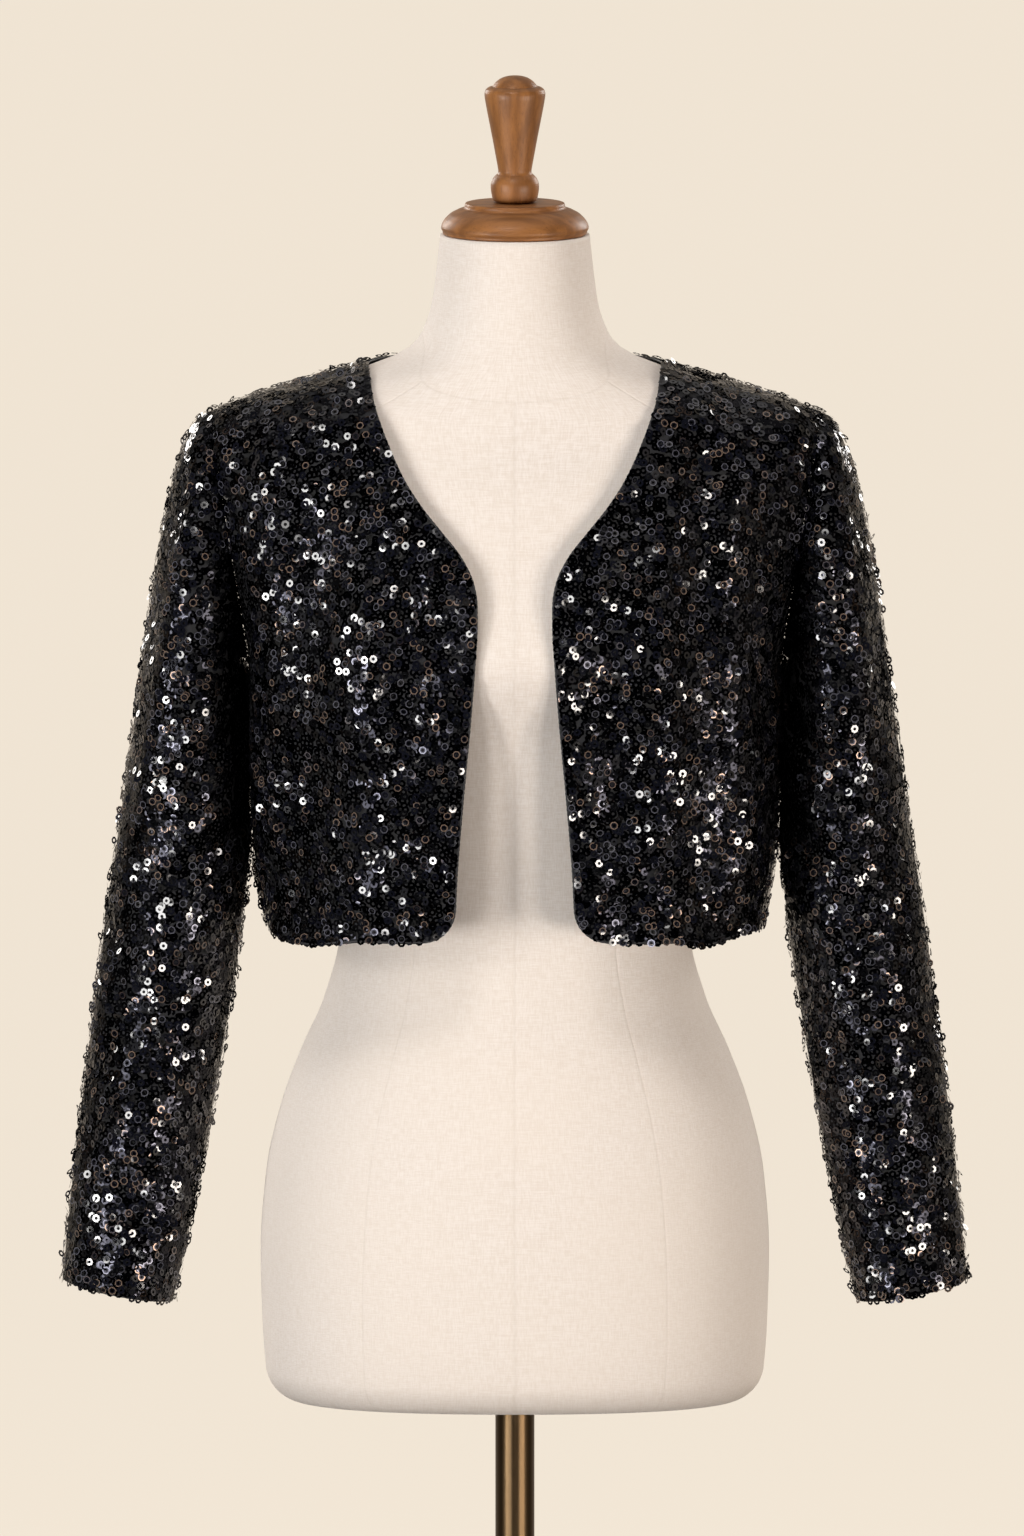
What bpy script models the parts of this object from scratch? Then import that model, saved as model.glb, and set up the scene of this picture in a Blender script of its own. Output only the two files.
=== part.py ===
"""A cropped sequin bolero worn by a limbless dress form on a round metal stand.

The cloth is five sewn pieces, a back, two fronts and two sleeves, each a wall of one thickness. The form
is a padded torso with a turned wooden neck cap and handle, a pole and a weighted base. The tables are in
millimetres and the model in metres, with +Z up, the front towards -Y and the origin under the base.
"""

from math import cos, radians, sin

import bmesh
import bpy
import numpy as np

MM = 0.001

# Driving dimensions, in millimetres
CLOTH = 2.0  # wall of the sequinned cloth
SEAM_GAP = 0.3  # between two pieces that are sewn together
REST_GAP = 0.7  # between the cloth and the form that carries it
FORM_BOTTOM = 710.0
NECK_TOP = 1521.0
HEM_Z = 1043.0
EDGE_CORNER = 22.0  # rounding of each front's lower corner
POLE_R = 13.5
SOCKET_R = POLE_R + SEAM_GAP
POLE_IN_FORM = 70.0  # length of pole inside the torso
BASE_R = 180.0
BASE_SOCKET_FLOOR = 6.0
BASE_BOSS_TOP = 34.0

# How finely each surface is sampled
ARM_ROWS = 14  # rows of a panel from underarm to shoulder, and half the points round a sleeve
PANEL_COLUMNS = 12
FORM_SIDES = 32
TURNED_SIDES = 32
BASE_SIDES = 48
SHARP_ANGLE = 40.0  # degrees: edges bent more than this stay sharp

# The v of a panel's rows, 0 at the hem, 1 at the underarm and 2 at the shoulder seam. They are close
# together at the hem's rounded corner and at the shoulder.
HEM_LEVELS = [0.0, 0.02, 0.055, 0.105]
SIDE_LEVELS = [0.2, 0.36, 0.52, 0.68, 0.84, 1.0]
ARM_LEVELS = 2 - (1 - np.arange(1, ARM_ROWS + 1) / ARM_ROWS) ** 1.3
LEVELS = np.concatenate([HEM_LEVELS, SIDE_LEVELS, ARM_LEVELS])
BACK_NECK_V = ARM_LEVELS[8]  # the row where the centre back line meets the neckline
UNDERARM_ROW = len(LEVELS) - 1 - ARM_ROWS

# The dress form, ring by ring: half width, depth to the front and back, squareness of the outline
FORM = np.array(
    [
        # z, half_width, front, back, square
        (710, 169.5, 105, 108, 2.30),
        (760, 174.0, 111, 117, 2.30),
        (815, 175.5, 112, 121, 2.25),
        (870, 171.5, 110, 116, 2.20),
        (915, 161.5, 105, 102, 2.15),
        (955, 147.0, 98, 88, 2.10),
        (990, 131.5, 90, 77, 2.10),
        (1035, 121.0, 83, 70, 2.10),
        (1075, 123.0, 86, 72, 2.10),
        (1125, 131.0, 95, 82, 2.15),
        (1175, 139.0, 107, 92, 2.25),
        (1235, 148.0, 131, 100, 2.40),
        (1280, 157.0, 119, 106, 2.35),
        (1320, 169.0, 103, 107, 2.20),
        (1355, 186.0, 88, 100, 2.10),
        (1380, 193.0, 75, 91, 2.00),
        (1398, 186.0, 68, 82, 2.00),
        (1408.5, 156.0, 64.5, 77, 2.00),
        (1418, 128.0, 61.5, 73, 2.00),
        (1426.5, 104.0, 59.5, 70, 2.00),
        (1433, 86.0, 58, 67, 2.00),
        (1443, 70.0, 56, 63, 2.00),
        (1453, 63.5, 54.5, 61, 2.00),
        (1470, 57.6, 53, 57, 2.00),
        (1487, 55.0, 52, 54, 2.00),
        (1521, 51.3, 51.3, 51.3, 2.00),
    ]
)
FORM_HEIGHTS = (
    [775, 815, 855, 890, 920, 950, 980, 1010, 1045, 1085, 1130, 1175, 1205, 1235, 1265, 1295]
    + [1325, 1350, 1370, 1385, 1395, 1402, 1409, 1416, 1423, 1429, 1433, 1437, 1442, 1448]
    + [1456, 1468, 1487, NECK_TOP]
)
FORM_ROUNDING = 22.0

# A sleeve from armhole to cuff, on the +X side: its outermost and innermost points and its depth
SLEEVE = np.array(
    [
        # share, outer_x, outer_z, inner_x, inner_z, middle_y, front, back
        (0.00, 212.0, 1396, 184.0, 1226, 4, 42.0, 46.0),
        (0.04, 219.5, 1390, 189.0, 1225, 4, 50.0, 54.0),
        (0.09, 229.5, 1369, 191.5, 1219, 4, 55.5, 60.0),
        (0.15, 238.5, 1337, 191.0, 1209, 4, 58.0, 62.0),
        (0.22, 246.0, 1299, 189.0, 1196, 3, 58.5, 61.0),
        (0.29, 252.5, 1256, 187.6, 1180, 2, 57.5, 59.0),
        (0.36, 259.0, 1210, 186.4, 1158, 0, 56.0, 57.0),
        (0.45, 266.0, 1160, 185.2, 1126, -2, 54.0, 54.0),
        (0.53, 273.0, 1110, 184.8, 1086, -5, 52.0, 51.0),
        (0.62, 281.5, 1055, 188.5, 1038, -9, 50.0, 49.0),
        (0.72, 290.0, 990, 198.0, 975, -14, 48.5, 47.0),
        (0.82, 298.5, 925, 209.0, 910, -20, 47.0, 46.0),
        (0.91, 306.0, 862, 221.0, 847, -26, 45.5, 44.0),
        (1.00, 312.5, 799, 235.0, 784, -33, 43.0, 42.0),
    ]
)
SLEEVE_SHARES = (0.0, 0.03, 0.065, 0.11, 0.165, 0.225, 0.29, 0.36, 0.43, 0.5, 0.57, 0.65, 0.74, 0.83, 0.92, 1.0)

# The side seam: v is 0 at the hem, 1 at the underarm
SIDE = np.array(
    [
        # v, x, y, z
        (0.00, 178.0, 4, 1045),
        (0.20, 180.5, 4, 1081),
        (0.50, 183.0, 4, 1136),
        (0.80, 184.5, 4, 1190),
        (1.00, 184.0, 4, 1226),
    ]
)
# The front's open edge and neckline: v runs on to 2 at the shoulder seam
FRONT_EDGE = np.array(
    [
        # v, x, y, z
        (0.00, 42.0, -126, 1043),
        (0.20, 40.5, -127, 1082),
        (0.50, 36.0, -130, 1140),
        (0.80, 30.5, -134, 1200),
        (1.00, 27.5, -136, 1240),
        (1.10, 26.3, -134, 1262),
        (1.18, 26.5, -130.5, 1278),
        (1.25, 29.0, -126, 1292),
        (1.33, 37.0, -118.5, 1308),
        (1.42, 51.0, -109.5, 1325),
        (1.51, 64.5, -101, 1341),
        (1.60, 76.0, -92, 1358),
        (1.70, 86.0, -80, 1378),
        (1.80, 94.0, -67, 1398),
        (1.88, 98.5, -52, 1412),
        (1.95, 101.0, -30, 1426),
        (2.00, 102.0, 2, 1430.5),
    ]
)
# The centre back line up to the neckline, which then runs round the neck to the shoulder seam
BACK_EDGE = np.array(
    [
        # v, y, z
        (0.00, 108, 1043),
        (0.50, 109, 1140),
        (1.00, 112, 1240),
        (1.30, 114.5, 1320),
        (1.45, 110, 1370),
        (1.55, 100, 1400),
        (1.62, 89, 1418),
        (BACK_NECK_V, 79, 1431),
    ]
)
# How a panel's row leaves its edge, by a direction in degrees and a handle, and the place from which it
# turns to reach its side
FRONT_ROWS = np.array(
    [
        # v, leaves, handle, corner_x, corner_y
        (0.00, 2, 100, 178, -80),
        (0.50, 1, 102, 183, -82),
        (1.00, 0, 105, 184, -88),
        (1.25, 6, 88, 180, -87),
        (1.50, 12, 72, 186, -80),
        (1.75, 12, 52, 195, -50),
        (1.90, 6, 42, 194, -23),
        (2.00, 0, 37, 175, 4),
    ]
)
BACK_ROWS = np.array(
    [
        # v, leaves, handle, corner_x, corner_y
        (0.00, 0, 112, 178, 74),
        (0.50, 0, 112, 183, 76),
        (1.00, 0, 108, 184, 80),
        (1.33, 0, 100, 181, 86),
        (1.67, 2, 72, 192, 74),
        (1.85, 8, 48, 193, 43),
        (2.00, 0, 37, 175, 4),
    ]
)

# Soft folds of the fronts, as seen from the front: height is out of the cloth, below 0 a trough
FRONT_FOLDS = np.array(
    [
        # side, top_x, top_z, low_x, low_z, half_width, height
        (-1, 100, 1330, 104, 1075, 17, 4.0),
        (-1, 74, 1290, 70, 1060, 14, -3.0),
        (-1, 138, 1290, 140, 1060, 16, -4.0),
        (-1, 168, 1350, 172, 1120, 12, 4.0),
        (1, 108, 1350, 92, 1130, 16, 3.5),
        (1, 126, 1345, 128, 1060, 15, -4.5),
        (1, 150, 1335, 158, 1055, 13, 5.0),
        (1, 66, 1285, 72, 1060, 15, -3.0),
    ]
)
BACK_FOLDS = np.array(
    [
        # side, top_x, top_z, low_x, low_z, half_width, height
        (1, 40, 1300, 34, 1050, 18, -3.5),
        (1, 92, 1320, 84, 1050, 18, 3.5),
        (1, 136, 1300, 132, 1050, 16, -4.5),
    ]
)
# Sleeve creases, by share of the length and angle round from the outer line towards the front
SLEEVE_FOLDS = np.array(
    [
        # side, share_a, angle_a, share_b, angle_b, half_width, height
        (0, 0.30, 150, 0.42, 95, 11, -4.0),
        (0, 0.47, 160, 0.58, 85, 12, -4.5),
        (0, 0.62, 150, 0.70, 80, 10, -3.0),
        (0, 0.45, 215, 0.60, 285, 12, -3.5),
        (-1, 0.16, 60, 0.50, 50, 12, 3.0),
        (1, 0.18, 55, 0.46, 70, 12, 3.0),
        (0, 0.74, 130, 0.82, 60, 11, -2.5),
    ]
)

# Turned wood, radius and height, from the top down the outer side
CAP_PROFILE = [
    (0, 1543.2),
    (33.5, 1543.2),
    (34.6, 1542.4),
    (34.6, 1539.4),
    (38.5, 1538.6),
    (44.5, 1535.6),
    (48.8, 1531.4),
    (50.8, 1527.6),
    (51.0, 1525.0),
    (49.6, 1523.6),
    (49.9, 1521.3),
    (0, 1521.3),
]
HANDLE_PROFILE = [
    (0, 1629.0),
    (7.5, 1628.0),
    (13.0, 1625.2),
    (16.6, 1621.4),
    (18.6, 1620.4),
    (20.9, 1618.0),
    (21.2, 1615.0),
    (19.4, 1606.0),
    (15.4, 1586.0),
    (11.8, 1567.0),
    (11.2, 1563.0),
    (13.6, 1561.6),
    (16.2, 1558.0),
    (16.9, 1554.0),
    (16.0, 1548.0),
    (14.8, 1543.5),
    (0, 1543.5),
]
BASE_PROFILE = [
    (0, BASE_SOCKET_FLOOR),
    (SOCKET_R, BASE_SOCKET_FLOOR),
    (SOCKET_R, BASE_BOSS_TOP),
    (20.0, BASE_BOSS_TOP),
    (22.5, 31.5),
    (24.0, 19.0),
    (31.0, 13.0),
    (90.0, 9.5),
    (150.0, 7.5),
    (172.0, 6.0),
    (178.6, 4.2),
    (BASE_R, 2.4),
    (BASE_R, 0),
    (0, 0),
]

# Colour, roughness and metallic value of each material
MATERIALS = {
    "sequin_cloth": ((0.012, 0.012, 0.016, 1), 0.35, 0.0),
    "linen": ((0.78, 0.70, 0.60, 1), 0.9, 0.0),
    "walnut": ((0.27, 0.12, 0.05, 1), 0.35, 0.0),
    "bronze": ((0.16, 0.11, 0.07, 1), 0.35, 0.9),
}


def clear_scene():
    """Removes every object of the open scene."""
    for obj in list(bpy.data.objects):
        bpy.data.objects.remove(obj)


def smooth(at, knots, values):
    """Value at each `at` of a curve through (knots, values): cubic pieces that never overshoot a knot."""
    at, knots, values = (np.asarray(a, float) for a in (at, knots, values))
    step = np.diff(knots)
    rise = np.diff(values) / step
    slope = np.concatenate([rise[:1], np.zeros(len(rise) - 1), rise[-1:]])
    product = rise[:-1] * rise[1:]
    total = np.where(product > 0, rise[:-1] + rise[1:], 1)
    slope[1:-1] = np.where(product > 0, 2 * product / total, 0)
    i = np.clip(np.searchsorted(knots, at, side="right") - 1, 0, len(step) - 1)
    t = (np.clip(at, knots[0], knots[-1]) - knots[i]) / step[i]
    low = values[i] * (1 + 2 * t) * (1 - t) ** 2 + slope[i] * step[i] * t * (1 - t) ** 2
    high = values[i + 1] * (3 - 2 * t) * t**2 - slope[i + 1] * step[i] * (1 - t) * t**2
    return low + high


def columns(table, at):
    """Every column of a table after its first, read at the places `at` of the first column."""
    return [smooth(at, table[:, 0], column) for column in table[:, 1:].T]


def unit(vectors):
    return vectors / np.maximum(np.linalg.norm(vectors, axis=-1, keepdims=True), 1e-9)


def form_ring(z, angles, inset=0.0):
    """Points of the form's outline at height z: a superellipse, deeper in front or behind."""
    half_width, front, back, square = columns(FORM, z)
    depth = np.where(np.sin(angles) > 0, front, back) - inset
    across = np.sign(np.cos(angles)) * np.abs(np.cos(angles)) ** (2 / square)
    along = np.sign(np.sin(angles)) * np.abs(np.sin(angles)) ** (2 / square)
    return np.stack([(half_width - inset) * across, -depth * along, np.full_like(angles, z)], axis=-1)


def form_level(points):
    """0 on the form's surface, above 0 outside it."""
    x, y, z = np.moveaxis(points, -1, 0)
    half_width, front, back, square = columns(FORM, z)
    depth = np.where(y < 0, front, back)
    return (np.abs(x) / half_width) ** square + (np.abs(y) / depth) ** square - 1


def pushed_clear(points, clearance):
    """Points moved out along the form's normal until they are at least `clearance` from its surface."""
    step = 0.5
    most = 20.0
    for _ in range(6):
        gradient = np.stack(
            [form_level(points + step * axis) - form_level(points - step * axis) for axis in np.eye(3)],
            axis=-1,
        ) / (2 * step)
        steep = np.linalg.norm(gradient, axis=-1)
        distance = form_level(points) / np.maximum(steep, 1e-9)
        short = np.clip(clearance - distance, 0, most)
        points = points + unit(gradient) * short[..., None]
    return points


def settled(points, clearance):
    """A grid of points clear of the form, with each cell's middle lifted clear by the cell's corners."""
    for _ in range(8):
        points = pushed_clear(points, clearance)
        middle = (points[:-1, :-1] + points[1:, 1:] + points[1:, :-1] + points[:-1, 1:]) / 4
        lift = np.pad(pushed_clear(middle, clearance) - middle, ((1, 1), (1, 1), (0, 0)))
        around = np.stack([lift[:-1, :-1], lift[1:, :-1], lift[:-1, 1:], lift[1:, 1:]])
        farthest = np.linalg.norm(around, axis=-1).argmax(axis=0)
        points = points + np.take_along_axis(around, farthest[None, ..., None], axis=0)[0]
    return points


def sleeve_points(shares, angles):
    """The sleeve's outer skin on +X: ellipses between its outer and inner lines, angle 0 outermost."""
    outer_x, outer_z, inner_x, inner_z, middle_y, front, back = (c[:, None] for c in columns(SLEEVE, shares))
    angles = angles[None, :]
    depth = np.where(np.sin(angles) > 0, front, back)
    x = (outer_x + inner_x) / 2 + (outer_x - inner_x) / 2 * np.cos(angles)
    z = (outer_z + inner_z) / 2 + (outer_z - inner_z) / 2 * np.cos(angles)
    return np.stack([x, middle_y - depth * np.sin(angles), z], axis=-1)


def side_line(facing):
    """Where a panel meets the side seam and then the armhole; facing is 1 for a front, -1 for a back."""
    seam = np.stack(columns(SIDE, LEVELS), axis=-1)
    round_arm = facing * np.pi * (2 - np.clip(LEVELS, 1, 2))
    armhole = sleeve_points(np.zeros(1), round_arm)[0]
    return np.where((LEVELS > 1)[:, None], armhole, seam)


def front_edge_line():
    """The front's open edge and neckline, with its lower corner rounded."""
    x, y, z = columns(FRONT_EDGE, LEVELS)
    drop = np.clip(EDGE_CORNER - (z - HEM_Z), 0, EDGE_CORNER)
    x = x + EDGE_CORNER - np.sqrt(EDGE_CORNER**2 - drop**2)
    return np.stack([x, y, z], axis=-1)


def back_edge_line():
    """The centre back line, and above it the neckline as a quarter ellipse round to the shoulder."""
    y, z = columns(BACK_EDGE, LEVELS)
    neck = FRONT_EDGE[-1, 1:]
    turn = np.clip((LEVELS - BACK_NECK_V) / (2 - BACK_NECK_V), 0, 1) * np.pi / 2
    depth = neck[1] + (y - neck[1]) * np.cos(turn)
    height = z + (neck[2] - z) * turn / (np.pi / 2)
    return np.stack([neck[0] * np.sin(turn), depth, height], axis=-1)


def panel_points(edge, side, rows, facing):
    """Rows of a panel: each a cubic Bezier curve from its edge to the side, read at even steps."""
    leaves, handle, corner_x, corner_y = columns(rows, LEVELS)
    start = np.stack([np.cos(np.radians(leaves)), facing * np.sin(np.radians(leaves))], axis=-1)
    near, far = edge + (side - edge) / 3, edge + (side - edge) * 2 / 3
    near[:, :2] = edge[:, :2] + start * handle[:, None]
    far[:, :2] = np.stack([corner_x, corner_y], axis=-1)
    u = np.linspace(0, 1, PANEL_COLUMNS + 1)[None, :, None]
    a, b, c, d = (p[:, None, :] for p in (edge, near, far, side))
    return a * (1 - u) ** 3 + 3 * b * u * (1 - u) ** 2 + 3 * c * u**2 * (1 - u) + d * u**3


def grid_normals(points):
    """Unit normals of a grid of points, along the columns crossed with along the rows."""
    return unit(np.cross(np.gradient(points, axis=1), np.gradient(points, axis=0)))


def ring_normals(points):
    """Unit normals of a tube's grid whose columns close round."""
    round_it = np.roll(points, -1, axis=1) - np.roll(points, 1, axis=1)
    return unit(np.cross(round_it, np.gradient(points, axis=0)))


def near_line(across, up, line):
    """How strongly each place is on a fold's line: 1 along it, falling off sideways and past its ends."""
    ax, az, bx, bz, half_width = line
    length = np.hypot(bx - ax, bz - az)
    along = ((across - ax) * (bx - ax) + (up - az) * (bz - az)) / length**2
    off = np.abs((across - ax) * (bz - az) - (up - az) * (bx - ax)) / length
    past = np.maximum(np.maximum(-along, along - 1), 0) * length
    return np.exp(-((off / half_width) ** 2) - (past / (2 * half_width)) ** 2)


def folded_panel(points, facing, folds, side):
    """A panel with its folds raised along its normals. They die out towards its seams and edges."""
    x, z = points[..., 0], points[..., 2]
    rows, across = points.shape[:2]
    ease_u = np.sin(np.pi * np.linspace(0, 1, across)) ** 0.7
    ease_v = np.clip(np.linspace(rows - 1, 0, rows) / 4, 0, 1)
    height = sum(row[6] * near_line(x, z, row[1:6]) for row in folds if row[0] == side)
    height = height * ease_u[None, :] * ease_v[:, None]
    return points + grid_normals(points) * facing * height[..., None]


def sleeve_angles():
    """Angles of a sleeve's columns: from the outer line round the front to the underarm and back."""
    front = np.pi * (2 - np.append(1, ARM_LEVELS)[::-1])
    return np.concatenate([front, 2 * np.pi - front[-2:0:-1]])


def folded_sleeve(points, side):
    """A sleeve with its creases. Angles become lengths at about 50 mm of radius, shares at 620 mm."""
    arm_length, arm_radius = 620, 50
    easing = 60  # length over which the creases fade out at the armhole and at the cuff
    along = np.array(SLEEVE_SHARES)[:, None] * arm_length
    around = sleeve_angles()[None, :] * arm_radius
    height = np.zeros(points.shape[:2])
    for row in SLEEVE_FOLDS:
        if row[0] in (0, side):
            ends = [row[1] * arm_length, radians(row[2]) * arm_radius]
            ends += [row[3] * arm_length, radians(row[4]) * arm_radius, row[5]]
            height += row[6] * near_line(along, around, ends)
    ease = np.clip(np.minimum(along, arm_length - along) / easing, 0, 1)
    return points + ring_normals(points) * (height * ease)[..., None]


def into_piece(along, line, inner):
    """Unit directions from a seam line into the piece, square to the line's own direction."""
    inward = inner - line
    return unit(inward - np.sum(inward * along, axis=-1, keepdims=True) * along)


def panel_inward(points):
    """Directions into a panel from its side seam, armhole and shoulder seam, and 0 elsewhere."""
    inward = np.zeros_like(points)
    inward[:, -1] += into_piece(unit(np.gradient(points[:, -1], axis=0)), points[:, -1], points[:, -2])
    inward[-1] += into_piece(unit(np.gradient(points[-1], axis=0)), points[-1], points[-2])
    return inward


def sleeve_inward(points):
    """Directions into a sleeve from its armhole, and 0 elsewhere."""
    along = unit(np.roll(points[0], -1, axis=0) - np.roll(points[0], 1, axis=0))
    inward = np.zeros_like(points)
    inward[0] = into_piece(along, points[0], points[1])
    return inward


def sewn(pieces):
    """Opens the seams of one side by their gap; each place where pieces meet gets one normal.

    Each piece is its points, its normals and the directions into it from its seams.
    """
    points, normals, inward = (np.concatenate([p[k].reshape(-1, 3) for p in pieces]) for k in range(3))
    place = np.unique(points.round(2), axis=0, return_inverse=True)[1].reshape(-1)
    meeting = np.bincount(place)[place][:, None]
    normals = unit(total_at(place, normals))
    away = inward - total_at(place, inward) / meeting
    away -= np.sum(away * normals, axis=-1, keepdims=True) * normals
    points = points + unit(away) * SEAM_GAP / 2 * (meeting > 1)
    cuts = np.cumsum([p[0].size // 3 for p in pieces])[:-1]
    shapes = [p[0].shape for p in pieces]
    return [
        (some.reshape(shape), others.reshape(shape))
        for some, others, shape in zip(np.split(points, cuts), np.split(normals, cuts), shapes)
    ]


def total_at(place, vectors):
    """For each vector, the sum of all vectors at its place."""
    total = np.zeros((place.max() + 1, 3))
    np.add.at(total, place, vectors)
    return total[place]


def bolero_skins(side):
    """Outer points and normals of one side's front, half back and sleeve, on +X, seams open.

    The rows of both panels end on the points that start the sleeve.
    """
    front = panel_points(front_edge_line(), side_line(1), FRONT_ROWS, 1)
    front = folded_panel(front, 1, FRONT_FOLDS, side)
    back = panel_points(back_edge_line(), side_line(-1), BACK_ROWS, -1)
    back = folded_panel(back, -1, BACK_FOLDS, 1)
    whole = settled(np.concatenate([front, back[-2::-1]]), CLOTH + REST_GAP)
    front, back = whole[: len(LEVELS)], whole[len(LEVELS) - 1 :][::-1].copy()
    sleeve = folded_sleeve(sleeve_points(np.array(SLEEVE_SHARES), sleeve_angles()), side)
    back_normals = -grid_normals(back)
    on_centre = LEVELS <= BACK_NECK_V
    back[on_centre, 0, 0] = 0
    back_normals[on_centre, 0, 0] = 0
    return sewn(
        [
            (front, grid_normals(front), panel_inward(front)),
            (back, back_normals, panel_inward(back)),
            (sleeve, ring_normals(sleeve), sleeve_inward(sleeve)),
        ]
    )


def grid_faces(rows, across, closed, first=0):
    """Quads between the points of a grid, row by row; closed joins the last column to the first."""
    i, j = np.meshgrid(np.arange(rows - 1), np.arange(across if closed else across - 1), indexing="ij")
    k = (j + 1) % across
    quads = np.stack([i * across + j, i * across + k, (i + 1) * across + k, (i + 1) * across + j], axis=-1)
    return quads.reshape(-1, 4) + first


def rim_faces(points, outer, inner):
    """Quads that close a wall along one line of its outer and inner points.

    Each starts at an end of its shorter diagonal, where it is split, so that two rims at a seam match.
    """
    quads = np.stack([outer[:-1], outer[1:], inner[1:], inner[:-1]], axis=-1)
    a, b, c, d = (points[quads[:, corner]] for corner in range(4))
    turn = np.linalg.norm(b - d, axis=-1) < np.linalg.norm(a - c, axis=-1)
    return np.where(turn[:, None], np.roll(quads, -1, axis=1), quads)


def wall_mesh(name, points, normals, closed, open_first=0, flip=False):
    """A mesh of a wall one cloth thick under its outer points, closed by rims.

    open_first is the number of rows whose first column stays open, for a half that gets mirrored there.
    """
    rows, across = points.shape[:2]
    count = rows * across
    both = np.concatenate([points, points - normals * CLOTH]).reshape(-1, 3)
    index = np.arange(count).reshape(rows, across)
    faces = [grid_faces(rows, across, closed), grid_faces(rows, across, closed, count)[:, ::-1]]
    ring = np.append(index, index[:, :1], axis=1) if closed else index
    borders = [ring[0][::-1], ring[-1]]
    if not closed:
        borders.append(index[max(open_first - 1, 0) :, 0])
        borders.append(index[:, -1][::-1])
    faces += [rim_faces(both, border, border + count) for border in borders]
    faces = np.concatenate(faces)
    if flip:
        faces = faces[:, ::-1]
    mesh = bpy.data.meshes.new(name)
    mesh.from_pydata((both * MM).tolist(), [], faces.tolist())
    mesh.validate()
    return mesh


def set_material(obj, name):
    """Gives an object its Principled material, made at its first use."""
    material = bpy.data.materials.get(name)
    if material is None:
        colour, roughness, metallic = MATERIALS[name]
        material = bpy.data.materials.new(name)
        material.use_nodes = True
        shader = material.node_tree.nodes["Principled BSDF"]
        shader.inputs["Base Color"].default_value = colour
        shader.inputs["Roughness"].default_value = roughness
        shader.inputs["Metallic"].default_value = metallic
        material.diffuse_color = colour
    obj.data.materials.append(material)


def new_part(name, mesh, material, collection):
    """A named object of the part, shaded smooth but for its sharp edges."""
    obj = bpy.data.objects.new(name, mesh)
    collection.objects.link(obj)
    set_material(obj, material)
    mesh.shade_smooth()
    mesh.set_sharp_from_angle(angle=radians(SHARP_ANGLE))
    return obj


def build_bolero(collection):
    """The two fronts, the two sleeves and the back, whose half is mirrored at the centre line."""
    on_centre = int(np.sum(LEVELS <= BACK_NECK_V))
    for side, word in ((1, "left"), (-1, "right")):
        front, half_back, sleeve = bolero_skins(side)
        for name, skin, closed in (("front", front, False), ("sleeve", sleeve, True)):
            points, normals = (vectors * np.array([side, 1, 1]) for vectors in skin)
            mesh = wall_mesh(f"{name}_{word}", points, normals, closed, flip=side < 0)
            new_part(f"{name}_{word}", mesh, "sequin_cloth", collection)
    mesh = wall_mesh("back", *half_back, False, open_first=on_centre, flip=True)
    back = new_part("back", mesh, "sequin_cloth", collection)
    mirror = back.modifiers.new("Other half", "MIRROR")
    mirror.use_axis = (True, False, False)
    mirror.merge_threshold = 0.0001


def build_form_body(collection):
    """The torso: a loft of outlines from its rounded bottom edge to the neck, with a socket for the pole."""
    angles = 2 * np.pi * np.arange(FORM_SIDES) / FORM_SIDES
    socket = SOCKET_R * np.stack([np.cos(angles), -np.sin(angles), 0 * angles], axis=-1)
    rings = [socket + [0, 0, FORM_BOTTOM + POLE_IN_FORM], socket + [0, 0, FORM_BOTTOM]]
    for turn in np.radians([0, 30, 60, 90]):  # the rounded bottom edge
        z = FORM_BOTTOM + FORM_ROUNDING * (1 - cos(turn))
        rings.append(form_ring(z, angles, FORM_ROUNDING * (1 - sin(turn))))
    rings += [form_ring(z, angles) for z in FORM_HEIGHTS]
    rings = np.array(rings)
    count = len(rings)
    faces = [tuple(face) for face in grid_faces(count, FORM_SIDES, closed=True)[:, ::-1].tolist()]
    faces.append(tuple(range(FORM_SIDES)))
    faces.append(tuple(range(count * FORM_SIDES - 1, (count - 1) * FORM_SIDES - 1, -1)))
    mesh = bpy.data.meshes.new("form_body")
    mesh.from_pydata((rings.reshape(-1, 3) * MM).tolist(), [], faces)
    new_part("form_body", mesh, "linen", collection)


def build_turned(name, profile, sides, material, collection):
    """A turned piece: its profile's line turned once round +Z by a Screw modifier."""
    mesh = bpy.data.meshes.new(name)
    points = [(radius * MM, 0, z * MM) for radius, z in profile]
    mesh.from_pydata(points, [(i, i + 1) for i in range(len(points) - 1)], [])
    piece = new_part(name, mesh, material, collection)
    screw = piece.modifiers.new("Turned", "SCREW")
    screw.axis = "Z"
    screw.angle = 2 * np.pi
    screw.steps = screw.render_steps = sides
    screw.use_merge_vertices = True
    screw.merge_threshold = 0.00001
    screw.use_smooth_shade = True


def build_pole(collection):
    """The pole, from the floor of the base's socket to the top of the one in the torso."""
    low = BASE_SOCKET_FLOOR + SEAM_GAP
    high = FORM_BOTTOM + POLE_IN_FORM - SEAM_GAP
    shape = bmesh.new()
    bmesh.ops.create_cone(
        shape,
        cap_ends=True,
        segments=TURNED_SIDES,
        radius1=POLE_R * MM,
        radius2=POLE_R * MM,
        depth=(high - low) * MM,
    )
    mesh = bpy.data.meshes.new("pole")
    shape.to_mesh(mesh)
    shape.free()
    pole = new_part("pole", mesh, "bronze", collection)
    pole.location.z = (low + high) / 2 * MM


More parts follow.
